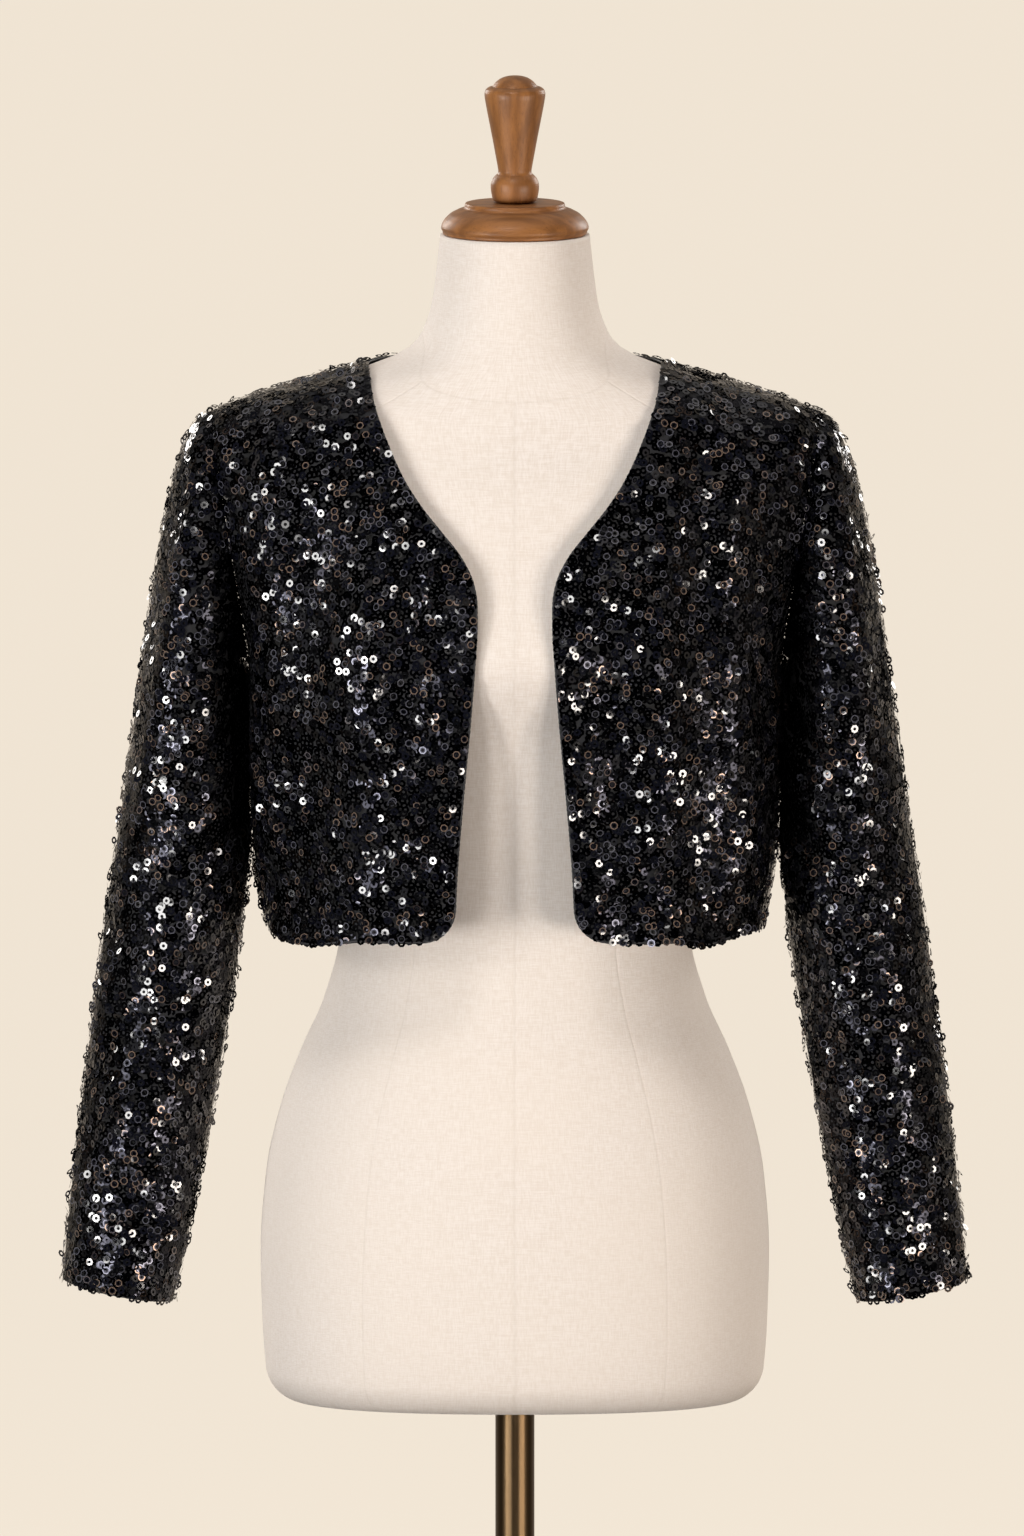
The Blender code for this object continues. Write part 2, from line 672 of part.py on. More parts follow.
def main():
    clear_scene()
    collection = bpy.data.collections.new("sequin_bolero_on_dress_form")
    bpy.context.scene.collection.children.link(collection)
    build_bolero(collection)
    build_form_body(collection)
    build_turned("neck_cap", CAP_PROFILE, TURNED_SIDES, "walnut", collection)
    build_turned("handle", HANDLE_PROFILE, TURNED_SIDES, "walnut", collection)
    build_pole(collection)
    build_turned("base", BASE_PROFILE, BASE_SIDES, "bronze", collection)


main()
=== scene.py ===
# %% [markdown]
# # A sequin bolero on a dress form
# A cropped, open-front bolero hangs on a linen dress form. Its cloth is a dark stretch net that is covered
# all over with small black ring sequins. This file dresses the plain CAD solids: it keeps their shapes and
# adds what a camera sees, which is the fine creases, the sequins, the weave, the wood and the metal.

import bmesh
import bpy
import numpy as np
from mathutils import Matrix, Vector


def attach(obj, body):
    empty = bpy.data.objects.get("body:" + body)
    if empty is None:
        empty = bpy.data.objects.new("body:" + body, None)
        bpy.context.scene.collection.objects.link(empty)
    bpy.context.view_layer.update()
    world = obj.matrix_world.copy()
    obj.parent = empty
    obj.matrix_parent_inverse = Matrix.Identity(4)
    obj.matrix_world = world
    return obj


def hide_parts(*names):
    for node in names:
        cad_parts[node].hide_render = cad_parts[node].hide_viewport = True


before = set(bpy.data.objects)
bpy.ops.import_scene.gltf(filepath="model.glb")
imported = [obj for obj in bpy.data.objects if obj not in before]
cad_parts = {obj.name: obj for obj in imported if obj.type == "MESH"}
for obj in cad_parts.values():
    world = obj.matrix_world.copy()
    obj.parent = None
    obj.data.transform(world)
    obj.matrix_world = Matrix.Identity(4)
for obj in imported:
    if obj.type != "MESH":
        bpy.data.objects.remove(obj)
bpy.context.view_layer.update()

MM = 0.001
RANDOM = np.random.default_rng(20)
print("nodes:", sorted(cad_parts))

# %% [markdown]
# ## The camera
# The picture was taken from far away with a long lens that looks slightly down, so parallel lines stay nearly
# parallel. A long lens at thirty-two metres, tilted down by seven degrees, gives the same view. The picture's
# height covers 1.0593 m where the form stands.

# %% The camera
CAMERA_DISTANCE = 32.0
CAMERA_TILT = np.radians(7.0)
PICTURE_HEIGHT = 1.0593
SENSOR = 36.0
AIM = Vector((-0.002, 0.0, 1.1486))

camera_data = bpy.data.cameras.new("camera")
camera_data.sensor_width = SENSOR
camera_data.lens = SENSOR * CAMERA_DISTANCE / PICTURE_HEIGHT
camera_data.clip_end = 200
camera = bpy.data.objects.new("camera", camera_data)
camera.location = AIM + CAMERA_DISTANCE * Vector((0, -np.cos(CAMERA_TILT), np.sin(CAMERA_TILT)))
camera.rotation_euler = (np.pi / 2 - CAMERA_TILT, 0, 0)
bpy.context.scene.collection.objects.link(camera)
bpy.context.scene.camera = camera
print("lens in mm:", round(camera_data.lens))

# %% [markdown]
# ## Writing shader maths as Python
# A procedural material is a graph of small nodes. It could be clicked together by hand, but a formula reads
# better as a formula. The class below wraps a node's output, so that `1 - mask * 0.5` adds its Math nodes.


# %% A socket that does maths
class Socket:
    """A node's output in one material, with operators that add Math nodes."""

    def __init__(self, tree, output):
        self.tree, self.output = tree, output

    def _math(self, operation, *values):
        return node(self.tree, "ShaderNodeMath", {"operation": operation}, *values)

    def __add__(self, other):
        return self._math("ADD", self, other)

    def __rsub__(self, other):
        return self._math("SUBTRACT", other, self)

    def __mul__(self, other):
        return self._math("MULTIPLY", self, other)

    __radd__, __rmul__ = __add__, __mul__

    def sin(self):
        return self._math("SINE", self)

    def abs(self):
        return self._math("ABSOLUTE", self)

    def ramp(self, start, end):
        """0 up to start, 1 from end on, smooth between."""
        settings = {"interpolation_type": "SMOOTHSTEP"}
        return node(self.tree, "ShaderNodeMapRange", settings, self, start, end, 0.0, 1.0)


def node(tree, kind, settings, *inputs, output=0, **named):
    """Adds a node: its settings first, then the values or links of its sockets by place or by name."""
    added = tree.nodes.new(kind)
    for key, value in settings.items():
        setattr(added, key, value)
    pairs = list(zip(added.inputs, inputs))
    pairs += [(added.inputs[key.replace("_", " ")], value) for key, value in named.items()]
    for socket, value in pairs:
        if isinstance(value, Socket):
            tree.links.new(value.output, socket)
        elif value is not None:
            socket.default_value = value
    return Socket(tree, added.outputs[output])


def mix_colour(tree, factor, first, second, blend="MIX"):
    """A colour between first and second, or the two combined by another blend."""
    mix = node(tree, "ShaderNodeMix", {"data_type": "RGBA", "blend_type": blend}, output=2)
    for place, value in ((0, factor), (6, first), (7, second)):
        socket = mix.output.node.inputs[place]
        if isinstance(value, Socket):
            tree.links.new(value.output, socket)
        else:
            socket.default_value = value
    return mix


def finish(name, base_colour, **sockets):
    """A material with one Principled shader. Functions given as values get the tree and return a socket."""
    material = bpy.data.materials.new(name)
    material.use_nodes = True
    tree = material.node_tree
    shader = tree.nodes["Principled BSDF"]
    for key, value in {"Base_Color": base_colour, **sockets}.items():
        value = value(tree) if callable(value) else value
        socket = shader.inputs[key.replace("_", " ")]
        if isinstance(value, Socket):
            tree.links.new(value.output, socket)
        else:
            socket.default_value = value
    return material


# %% [markdown]
# ## The studio
# A plain cream floor fills the picture behind the form. It glows by itself, so that it stays even however the
# lamps are set. Only the camera sees it, so its glow and its mirror image don't reach the object.

# %% The floor
BACKDROP = (0.880, 0.787, 0.665)
FLOOR_HALF, FLOOR_GLOW = 60.0, 0.96
PAPER_SHADE, CLOUD_SHADE = 0.10, 0.99  # how light the paper is in lamplight, and its slightly darker patches


def backdrop_colour(tree):
    place = node(tree, "ShaderNodeTexCoord", {}, output=3)
    cloud = node(tree, "ShaderNodeTexNoise", {}, place, Scale=0.35, Detail=1.0)
    return mix_colour(tree, cloud, [c * CLOUD_SHADE for c in BACKDROP] + [1], [*BACKDROP, 1])


floor_mesh = bpy.data.meshes.new("floor")
corners = [(-FLOOR_HALF, -FLOOR_HALF, 0), (FLOOR_HALF, -FLOOR_HALF, 0)]
corners += [(FLOOR_HALF, FLOOR_HALF, 0), (-FLOOR_HALF, FLOOR_HALF, 0)]
floor_mesh.from_pydata(corners, [], [(0, 1, 2, 3)])
floor = bpy.data.objects.new("floor", floor_mesh)
paper = finish(
    "floor_paper",
    [c * PAPER_SHADE for c in BACKDROP] + [1],
    Roughness=1.0,
    Specular_IOR_Level=0.0,
    Emission_Color=backdrop_colour,
    Emission_Strength=FLOOR_GLOW,
)
floor_mesh.materials.append(paper)
floor.visible_glossy = floor.visible_diffuse = False
bpy.context.scene.collection.objects.link(floor)

# %% [markdown]
# The room round the camera is dim and the backdrop's side is bright, so rings that face the camera stay black
# while those at a grazing angle pick up cream. Pale reflectors stand at both sides, and a larger one hangs
# overhead.

# %% The room
ROOM_DIM, ROOM_BRIGHT = (0.030, 0.031, 0.037, 1), (0.50, 0.43, 0.35, 1)
BRIGHT_SIDE, BRIGHT_FROM, BRIGHT_TO = (0, 1, -0.15), -0.15, 0.8
REFLECTOR_BLUR = 0.03
REFLECTORS = [
    # direction, size as the cosine of its half angle, radiance
    ((-0.86, -0.46, 0.10), 0.95, (0.25, 0.24, 0.22, 1)),
    ((0.90, -0.40, 0.05), 0.93, (0.30, 0.26, 0.22, 1)),
    ((0.00, 0.10, 0.99), 0.78, (0.60, 0.57, 0.55, 1)),
]
world = bpy.data.worlds.new("room")
bpy.context.scene.world = world
world.use_nodes = True
room = world.node_tree
direction = node(room, "ShaderNodeTexCoord", {}, output=0)


def towards(axis):
    """Cosine between the view into the room and an axis."""
    settings = {"operation": "DOT_PRODUCT"}
    return node(room, "ShaderNodeVectorMath", settings, direction, Vector(axis).normalized(), output=1)


light_of_room = mix_colour(room, towards(BRIGHT_SIDE).ramp(BRIGHT_FROM, BRIGHT_TO), ROOM_DIM, ROOM_BRIGHT)
for axis, edge, radiance in REFLECTORS:
    inside = towards(axis).ramp(edge - REFLECTOR_BLUR, edge + REFLECTOR_BLUR)
    light_of_room = mix_colour(room, inside, light_of_room, radiance)
room.links.new(light_of_room.output, room.nodes["Background"].inputs["Color"])
bpy.context.scene.view_settings.view_transform = "Standard"

# %% [markdown]
# Soft boxes light the linen and make the glints: each ring that happens to mirror a box to the camera turns
# white. Large boxes would turn a great many rings grey. These are small and bright, so only a few rings in a
# hundred light up, and fully. The two behind light the views from the back.

# %% Soft boxes
SOFT_BOXES = [
    # name, place, width and height, radiance, colour
    ("box_left", (-3.6, -3.0, 2.4), (0.9, 1.1), 14.0, (1.0, 0.985, 0.96)),
    ("box_side_left", (-3.4, -3.0, 0.8), (0.7, 1.2), 28.0, (1.0, 0.985, 0.96)),
    ("box_low_left", (-2.6, -4.4, 0.4), (1.1, 1.1), 17.0, (1.0, 0.985, 0.97)),
    ("box_right", (3.0, -4.4, 0.4), (1.1, 1.1), 24.0, (1.0, 0.92, 0.84)),
    ("box_side_right", (3.5, -2.9, 0.7), (0.7, 1.2), 23.0, (1.0, 0.91, 0.82)),
    ("box_front", (-0.5, -4.8, 3.0), (0.6, 0.6), 6.0, (1.0, 0.97, 0.94)),
    ("box_top", (-0.5, -1.6, 3.8), (0.7, 0.7), 14.0, (1.0, 0.97, 0.94)),
    ("box_camera", (0.2, -5.6, 1.0), (0.4, 0.4), 17.0, (1.0, 0.97, 0.95)),
    ("box_behind_left", (-2.4, 3.2, 2.4), (1.2, 1.6), 9.0, (1.0, 0.97, 0.93)),
    ("box_behind_right", (2.6, 3.0, 2.4), (1.2, 1.6), 9.0, (1.0, 0.97, 0.93)),
]
for name, place, size, radiance, colour in SOFT_BOXES:
    light = bpy.data.lights.new(name, "AREA")
    light.shape = "RECTANGLE"
    light.color = colour
    light.size, light.size_y = size
    light.energy = radiance * np.pi * size[0] * size[1]
    holder = bpy.data.objects.new(name, light)
    holder.location = place
    holder.rotation_euler = (AIM - Vector(place)).to_track_quat("-Z", "Y").to_euler()
    bpy.context.scene.collection.objects.link(holder)
print("soft boxes:", len(SOFT_BOXES))

# %% [markdown]
# ## Meshes from grids of points
# Each shape here is a surface: a grid of points worked out at once with numpy, joined by quads. Working with
# whole arrays is fast, and the formula of the shape stays in sight.


# %% Grids, skins and pieces
def unit(vectors):
    """Vectors scaled to length 1."""
    return vectors / np.maximum(np.linalg.norm(vectors, axis=-1, keepdims=True), 1e-9)


def grid_quads(rows, across, closed=False):
    """Quads of a grid, row by row; closed joins the last column to the first."""
    i, j = np.meshgrid(np.arange(rows - 1), np.arange(across if closed else across - 1), indexing="ij")
    k = (j + 1) % across
    quads = [i * across + j, i * across + k, (i + 1) * across + k, (i + 1) * across + j]
    return np.stack(quads, axis=-1).reshape(-1, 4)


def normals_of(points, closed=False):
    """Unit normals of a grid: its step along the columns crossed with its step along the rows."""
    if closed:
        across = np.roll(points, -1, axis=1) - np.roll(points, 1, axis=1)
    else:
        across = np.gradient(points, axis=1)
    return unit(np.cross(across, np.gradient(points, axis=0)))


def new_piece(name, points, faces, material, weld=0.0, laid=None, marks=None):
    """An object from points in millimetres and quads, shaded smooth.

    laid gives each point its place on the flat cloth, for a UV map. marks are named numbers of each point.
    Points closer together than weld become one.
    """
    mesh = bpy.data.meshes.new(name)
    flat = np.asarray(points, float).reshape(-1, 3) * MM
    mesh.vertices.add(len(flat))
    mesh.vertices.foreach_set("co", flat.astype(np.float32).ravel())
    mesh.loops.add(faces.size)
    mesh.loops.foreach_set("vertex_index", faces.astype(np.int32).ravel())
    mesh.polygons.add(len(faces))
    mesh.polygons.foreach_set("loop_start", np.arange(len(faces), dtype=np.int32) * 4)
    mesh.update(calc_edges=True)
    if laid is not None:
        uv = np.asarray(laid, np.float32).reshape(-1, 2)[faces.ravel()]
        mesh.uv_layers.new(name="UVMap").data.foreach_set("uv", uv.ravel())
    for mark, values in (marks or {}).items():
        layer = mesh.attributes.new(mark, "FLOAT", "POINT")
        layer.data.foreach_set("value", np.asarray(values, np.float32).ravel())
    if weld:
        shape = bmesh.new()
        shape.from_mesh(mesh)
        bmesh.ops.remove_doubles(shape, verts=shape.verts, dist=weld * MM)
        shape.to_mesh(mesh)
        shape.free()
    mesh.shade_smooth()
    mesh.materials.append(material)
    piece = bpy.data.objects.new(name, mesh)
    bpy.context.scene.collection.objects.link(piece)
    return piece


def placed(piece, slot, *nodes):
    """Says where a piece belongs: on the one body, in place of the named nodes. The slot is not used."""
    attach(piece, "root")
    if nodes:
        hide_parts(*nodes)
    return piece


# %% [markdown]
# ## The measurements
# The shapes are those of the CAD source, so its tables are repeated here in millimetres. Three places follow
# the photograph a little closer: the side seam's lower end is up to 7 mm further in, and the neck's top and
# the cap sit 2.2 mm lower. A smooth curve that never overshoots joins the rows of each table, so a surface
# can be read at any height.

# %% The tables of the form and the cloth
FORM_BOTTOM, NECK_TOP = 710.0, 1518.8
FORM_ROUNDING = 22.0
HEM_Z = 1043.0
EDGE_CORNER = 22.0
ARM_ROWS, ARM_POWER = 14, 1.3  # rows of the CAD panels up the armhole, and how they crowd towards its foot
CLEARANCE = 2.7  # from the form to the cloth's outside

FORM = np.array(
    [
        # z, half_width, front, back, square
        (710, 169.5, 105, 108, 2.30),
        (760, 174.0, 111, 117, 2.30),
        (815, 175.5, 112, 121, 2.25),
        (870, 171.5, 110, 116, 2.20),
        (915, 161.5, 105, 102, 2.15),
        (955, 147.0, 98, 88, 2.10),
        (990, 131.5, 90, 77, 2.10),
        (1035, 121.0, 83, 70, 2.10),
        (1075, 123.0, 86, 72, 2.10),
        (1125, 131.0, 95, 82, 2.15),
        (1175, 139.0, 107, 92, 2.25),
        (1235, 148.0, 131, 100, 2.40),
        (1280, 157.0, 119, 106, 2.35),
        (1320, 169.0, 103, 107, 2.20),
        (1355, 186.0, 88, 100, 2.10),
        (1380, 193.0, 75, 91, 2.00),
        (1398, 186.0, 68, 82, 2.00),
        (1408.5, 156.0, 64.5, 77, 2.00),
        (1418, 128.0, 61.5, 73, 2.00),
        (1426.5, 104.0, 59.5, 70, 2.00),
        (1433, 86.0, 58, 67, 2.00),
        (1443, 70.0, 56, 63, 2.00),
        (1453, 63.5, 54.5, 61, 2.00),
        (1470, 57.6, 53, 57, 2.00),
        (1487, 55.0, 52, 54, 2.00),
        (1521, 51.3, 51.3, 51.3, 2.00),
    ]
)
SLEEVE = np.array(
    [
        # share, outer_x, outer_z, inner_x, inner_z, middle_y, front, back
        (0.00, 212.0, 1396, 184.0, 1226, 4, 42.0, 46.0),
        (0.04, 219.5, 1390, 189.0, 1225, 4, 50.0, 54.0),
        (0.09, 229.5, 1369, 191.5, 1219, 4, 55.5, 60.0),
        (0.15, 238.5, 1337, 191.0, 1209, 4, 58.0, 62.0),
        (0.22, 246.0, 1299, 189.0, 1196, 3, 58.5, 61.0),
        (0.29, 252.5, 1256, 187.6, 1180, 2, 57.5, 59.0),
        (0.36, 259.0, 1210, 186.4, 1158, 0, 56.0, 57.0),
        (0.45, 266.0, 1160, 185.2, 1126, -2, 54.0, 54.0),
        (0.53, 273.0, 1110, 184.8, 1086, -5, 52.0, 51.0),
        (0.62, 281.5, 1055, 188.5, 1038, -9, 50.0, 49.0),
        (0.72, 290.0, 990, 198.0, 975, -14, 48.5, 47.0),
        (0.82, 298.5, 925, 209.0, 910, -20, 47.0, 46.0),
        (0.91, 306.0, 862, 221.0, 847, -26, 45.5, 44.0),
        (1.00, 312.5, 799, 235.0, 784, -33, 43.0, 42.0),
    ]
)
SIDE = np.array(
    [
        # v, x, y, z
        (0.00, 171.0, 4, 1041),
        (0.20, 179.0, 4, 1079),
        (0.50, 183.0, 4, 1136),
        (0.80, 184.5, 4, 1190),
        (1.00, 184.0, 4, 1226),
    ]
)
FRONT_EDGE = np.array(
    [
        # v, x, y, z
        (0.00, 42.0, -126, 1043),
        (0.20, 40.5, -127, 1082),
        (0.50, 36.0, -130, 1140),
        (0.80, 30.5, -134, 1200),
        (1.00, 27.5, -136, 1240),
        (1.10, 26.3, -134, 1262),
        (1.18, 26.5, -130.5, 1278),
        (1.25, 29.0, -126, 1292),
        (1.33, 37.0, -118.5, 1308),
        (1.42, 51.0, -109.5, 1325),
        (1.51, 64.5, -101, 1341),
        (1.60, 76.0, -92, 1358),
        (1.70, 86.0, -80, 1378),
        (1.80, 94.0, -67, 1398),
        (1.88, 98.5, -52, 1412),
        (1.95, 101.0, -30, 1426),
        (2.00, 102.0, 2, 1430.5),
    ]
)
BACK_NECK_V = 2 - (1 - 9 / ARM_ROWS) ** ARM_POWER  # where the centre back line meets the neckline
BACK_EDGE = np.array(
    [
        # v, y, z
        (0.00, 108, 1043),
        (0.50, 109, 1140),
        (1.00, 112, 1240),
        (1.30, 114.5, 1320),
        (1.45, 110, 1370),
        (1.55, 100, 1400),
        (1.62, 89, 1418),
        (BACK_NECK_V, 79, 1431),
    ]
)
FRONT_ROWS = np.array(
    [
        # v, leaves, handle, corner_x, corner_y
        (0.00, 2, 100, 171, -80),
        (0.50, 1, 102, 183, -82),
        (1.00, 0, 105, 184, -88),
        (1.25, 6, 88, 180, -87),
        (1.50, 12, 72, 186, -80),
        (1.75, 12, 52, 195, -50),
        (1.90, 6, 42, 194, -23),
        (2.00, 0, 37, 175, 4),
    ]
)
BACK_ROWS = np.array(
    [
        # v, leaves, handle, corner_x, corner_y
        (0.00, 0, 112, 171, 74),
        (0.50, 0, 112, 183, 76),
        (1.00, 0, 108, 184, 80),
        (1.33, 0, 100, 181, 86),
        (1.67, 2, 72, 192, 74),
        (1.85, 8, 48, 193, 43),
        (2.00, 0, 37, 175, 4),
    ]
)

# %% [markdown]
# The folds come next. Each is a soft trough or ridge along a line between two places, highest on the line and
# fading to both sides. The first rows of each table are those of the CAD source. The rest are finer creases
# that only the finished cloth has, and for the sleeves two low, broad swellings of the underside.

# %% The folds
FRONT_FOLDS = np.array(
    [
        # side, top_x, top_z, low_x, low_z, half_width, height
        (-1, 100, 1330, 104, 1075, 17, 4.0),
        (-1, 74, 1290, 70, 1060, 14, -3.0),
        (-1, 138, 1290, 140, 1060, 16, -4.0),
        (-1, 168, 1350, 172, 1120, 12, 4.0),
        (1, 108, 1350, 92, 1130, 16, 3.5),
        (1, 126, 1345, 128, 1060, 15, -4.5),
        (1, 150, 1335, 158, 1055, 13, 5.0),
        (1, 66, 1285, 72, 1060, 15, -3.0),
        (-1, 120, 1375, 84, 1240, 7, -1.2),
        (-1, 52, 1240, 50, 1110, 7, 1.0),
        (-1, 120, 1190, 116, 1050, 7, -1.3),
        (-1, 154, 1260, 158, 1050, 7, -1.6),
        (1, 84, 1340, 60, 1200, 7, -1.2),
        (1, 140, 1250, 142, 1110, 6, -1.4),
        (1, 110, 1190, 112, 1050, 7, 1.3),
        (1, 50, 1180, 56, 1060, 7, 1.0),
    ]
)
BACK_FOLDS = np.array(
    [
        # side, top_x, top_z, low_x, low_z, half_width, height
        (0, 40, 1300, 34, 1050, 18, -3.5),
        (0, 92, 1320, 84, 1050, 18, 3.5),
        (0, 136, 1300, 132, 1050, 16, -4.5),
        (1, 64, 1260, 58, 1060, 8, 1.3),
        (1, 118, 1340, 108, 1180, 8, -1.2),
        (-1, 70, 1230, 72, 1050, 8, 1.2),
        (-1, 120, 1280, 112, 1110, 8, -1.5),
        (-1, 20, 1340, 14, 1180, 9, -1.0),
        (0, 60, 1390, 120, 1340, 9, -1.2),
    ]
)
SLEEVE_FOLDS = np.array(
    [
        # side, share_a, angle_a, share_b, angle_b, half_width, height
        (0, 0.30, 150, 0.42, 95, 11, -4.0),
        (0, 0.47, 160, 0.58, 85, 12, -4.5),
        (0, 0.62, 150, 0.70, 80, 10, -3.0),
        (0, 0.45, 215, 0.60, 285, 12, -3.5),
        (-1, 0.16, 60, 0.50, 50, 12, 3.0),
        (1, 0.18, 55, 0.46, 70, 12, 3.0),
        (0, 0.74, 130, 0.82, 60, 11, -2.5),
        (0, 0.24, 190, 0.34, 260, 8, -1.8),
        (0, 0.52, 120, 0.60, 50, 7, -1.5),
        (-1, 0.38, 120, 0.46, 60, 7, -1.6),
        (1, 0.40, 135, 0.50, 75, 7, -1.6),
        (-1, 0.66, 90, 0.78, 40, 7, -1.4),
        (1, 0.80, 140, 0.88, 90, 7, -1.4),
        (0, 0.66, 220, 0.76, 290, 8, -1.6),
        (-1, 0.85, 230, 0.92, 300, 8, -1.2),
        (0, 0.10, 40, 0.30, 30, 8, -1.2),
        (0, 0.14, 180, 0.48, 180, 20, 3.6),
        (0, 0.07, 180, 0.26, 180, 26, 5.6),
    ]
)
print("folds:", len(FRONT_FOLDS) + len(BACK_FOLDS) + len(SLEEVE_FOLDS))

# %% [markdown]
# A cubic piece between two rows whose slopes are the harmonic mean of the rises on both sides is a classic
# way to draw a curve through given points without a bump between them.


# %% Reading the tables
def smooth(at, knots, values):
    """Value at each `at` of a curve through (knots, values): cubic pieces that never overshoot a knot."""
    at, knots, values = (np.asarray(a, float) for a in (at, knots, values))
    step = np.diff(knots)
    rise = np.diff(values) / step
    slope = np.concatenate([rise[:1], np.zeros(len(rise) - 1), rise[-1:]])
    product = rise[:-1] * rise[1:]
    total = np.where(product > 0, rise[:-1] + rise[1:], 1)
    slope[1:-1] = np.where(product > 0, 2 * product / total, 0)
    i = np.clip(np.searchsorted(knots, at, side="right") - 1, 0, len(step) - 1)
    t = (np.clip(at, knots[0], knots[-1]) - knots[i]) / step[i]
    low = values[i] * (1 + 2 * t) * (1 - t) ** 2 + slope[i] * step[i] * t * (1 - t) ** 2
    high = values[i + 1] * (3 - 2 * t) * t**2 - slope[i + 1] * step[i] * (1 - t) * t**2
    return low + high


def columns(table, at):
    """Every column of a table after its first, read at the places `at` of the first column."""
    return [smooth(at, table[:, 0], column) for column in table[:, 1:].T]


def form_level(points):
    """0 on the form's surface, above 0 outside it."""
    x, y, z = np.moveaxis(points, -1, 0)
    half_width, front, back, square = columns(FORM, z)
    depth = np.where(y < 0, front, back)
    return (np.abs(x) / half_width) ** square + (np.abs(y) / depth) ** square - 1


def clear_of_form(points, clearance):
    """Points moved out along the form's normal until they are at least `clearance` from its surface."""
    step, passes, furthest = 0.5, 8, 20
    for _ in range(passes):
        gradient = np.stack(
            [form_level(points + step * axis) - form_level(points - step * axis) for axis in np.eye(3)],
            axis=-1,
        ) / (2 * step)
        distance = form_level(points) / np.maximum(np.linalg.norm(gradient, axis=-1), 1e-9)
        short = np.clip(clearance - distance, 0, furthest)
        points = points + unit(gradient) * short[..., None]
    return points


# %% [markdown]
# ## The bolero's surfaces
# A front or half back is a stack of rows. Each row is a cubic curve from the open edge, or from the centre
# back, to the side seam or the armhole. A sleeve is a stack of ellipses that lean from the armhole to the
# cuff. Both are functions of two numbers, so one grid of points serves the net, its edges and the sequins.


# %% A front, a half back and a sleeve as functions
FOLD_EASE, FOLD_FREE_ROWS = 0.7, 4  # how the folds fade towards a panel's sides, and before its shoulder


def fold_height(across, up, line):
    """How strongly each place is on a fold's line: 1 along it, falling off sideways and past its ends."""
    ax, az, bx, bz, half_width = line
    length = np.hypot(bx - ax, bz - az)
    along = ((across - ax) * (bx - ax) + (up - az) * (bz - az)) / length**2
    off = np.abs((across - ax) * (bz - az) - (up - az) * (bx - ax)) / length
    past = np.maximum(np.maximum(-along, along - 1), 0) * length
    return np.exp(-((off / half_width) ** 2) - (past / (2 * half_width)) ** 2)


def sleeve_surface(shares, angles, side=0):
    """A sleeve's outside on +X: ellipses between its outer and inner lines, angle 0 outermost.

    A side of 1 or -1 adds that sleeve's creases: angles become lengths at 50 mm of radius, shares at 620 mm.
    """
    outer_x, outer_z, inner_x, inner_z, middle_y, front, back = (c[:, None] for c in columns(SLEEVE, shares))
    turn = angles[None, :]
    depth = np.where(np.sin(turn) > 0, front, back)
    x = (outer_x + inner_x) / 2 + (outer_x - inner_x) / 2 * np.cos(turn)
    z = (outer_z + inner_z) / 2 + (outer_z - inner_z) / 2 * np.cos(turn)
    points = np.stack([x, middle_y - depth * np.sin(turn), z], axis=-1)
    if side == 0:
        return points
    arm_length, arm_radius, easing = 620, 50, 60
    along = shares[:, None] * arm_length
    around = turn * arm_radius
    height = np.zeros(points.shape[:2])
    for word, share_a, angle_a, share_b, angle_b, half_width, rise in SLEEVE_FOLDS:
        if word in (0, side):
            ends = [share_a * arm_length, np.radians(angle_a) * arm_radius]
            ends += [share_b * arm_length, np.radians(angle_b) * arm_radius, half_width]
            height += rise * fold_height(along, around, ends)
    ease = np.clip(np.minimum(along, arm_length - along) / easing, 0, 1)
    return points + normals_of(points, closed=True) * (height * ease)[..., None]


def side_line(levels, facing):
    """Where a panel meets the side seam and then the armhole; facing is 1 for a front, -1 for a back."""
    seam = np.stack(columns(SIDE, levels), axis=-1)
    armhole = sleeve_surface(np.zeros(1), facing * np.pi * (2 - np.clip(levels, 1, 2)))[0]
    return np.where((levels > 1)[:, None], armhole, seam)


def front_edge_line(levels):
    """The front's open edge and neckline, with its lower corner rounded."""
    x, y, z = columns(FRONT_EDGE, levels)
    drop = np.clip(EDGE_CORNER - (z - HEM_Z), 0, EDGE_CORNER)
    x = x + EDGE_CORNER - np.sqrt(EDGE_CORNER**2 - drop**2)
    return np.stack([x, y, z], axis=-1)


def back_edge_line(levels):
    """The centre back line, and above it the neckline as a quarter ellipse round to the shoulder."""
    y, z = columns(BACK_EDGE, levels)
    neck = FRONT_EDGE[-1, 1:]
    turn = np.clip((levels - BACK_NECK_V) / (2 - BACK_NECK_V), 0, 1) * np.pi / 2
    depth = neck[1] + (y - neck[1]) * np.cos(turn)
    height = z + (neck[2] - z) * turn / (np.pi / 2)
    return np.stack([neck[0] * np.sin(turn), depth, height], axis=-1)


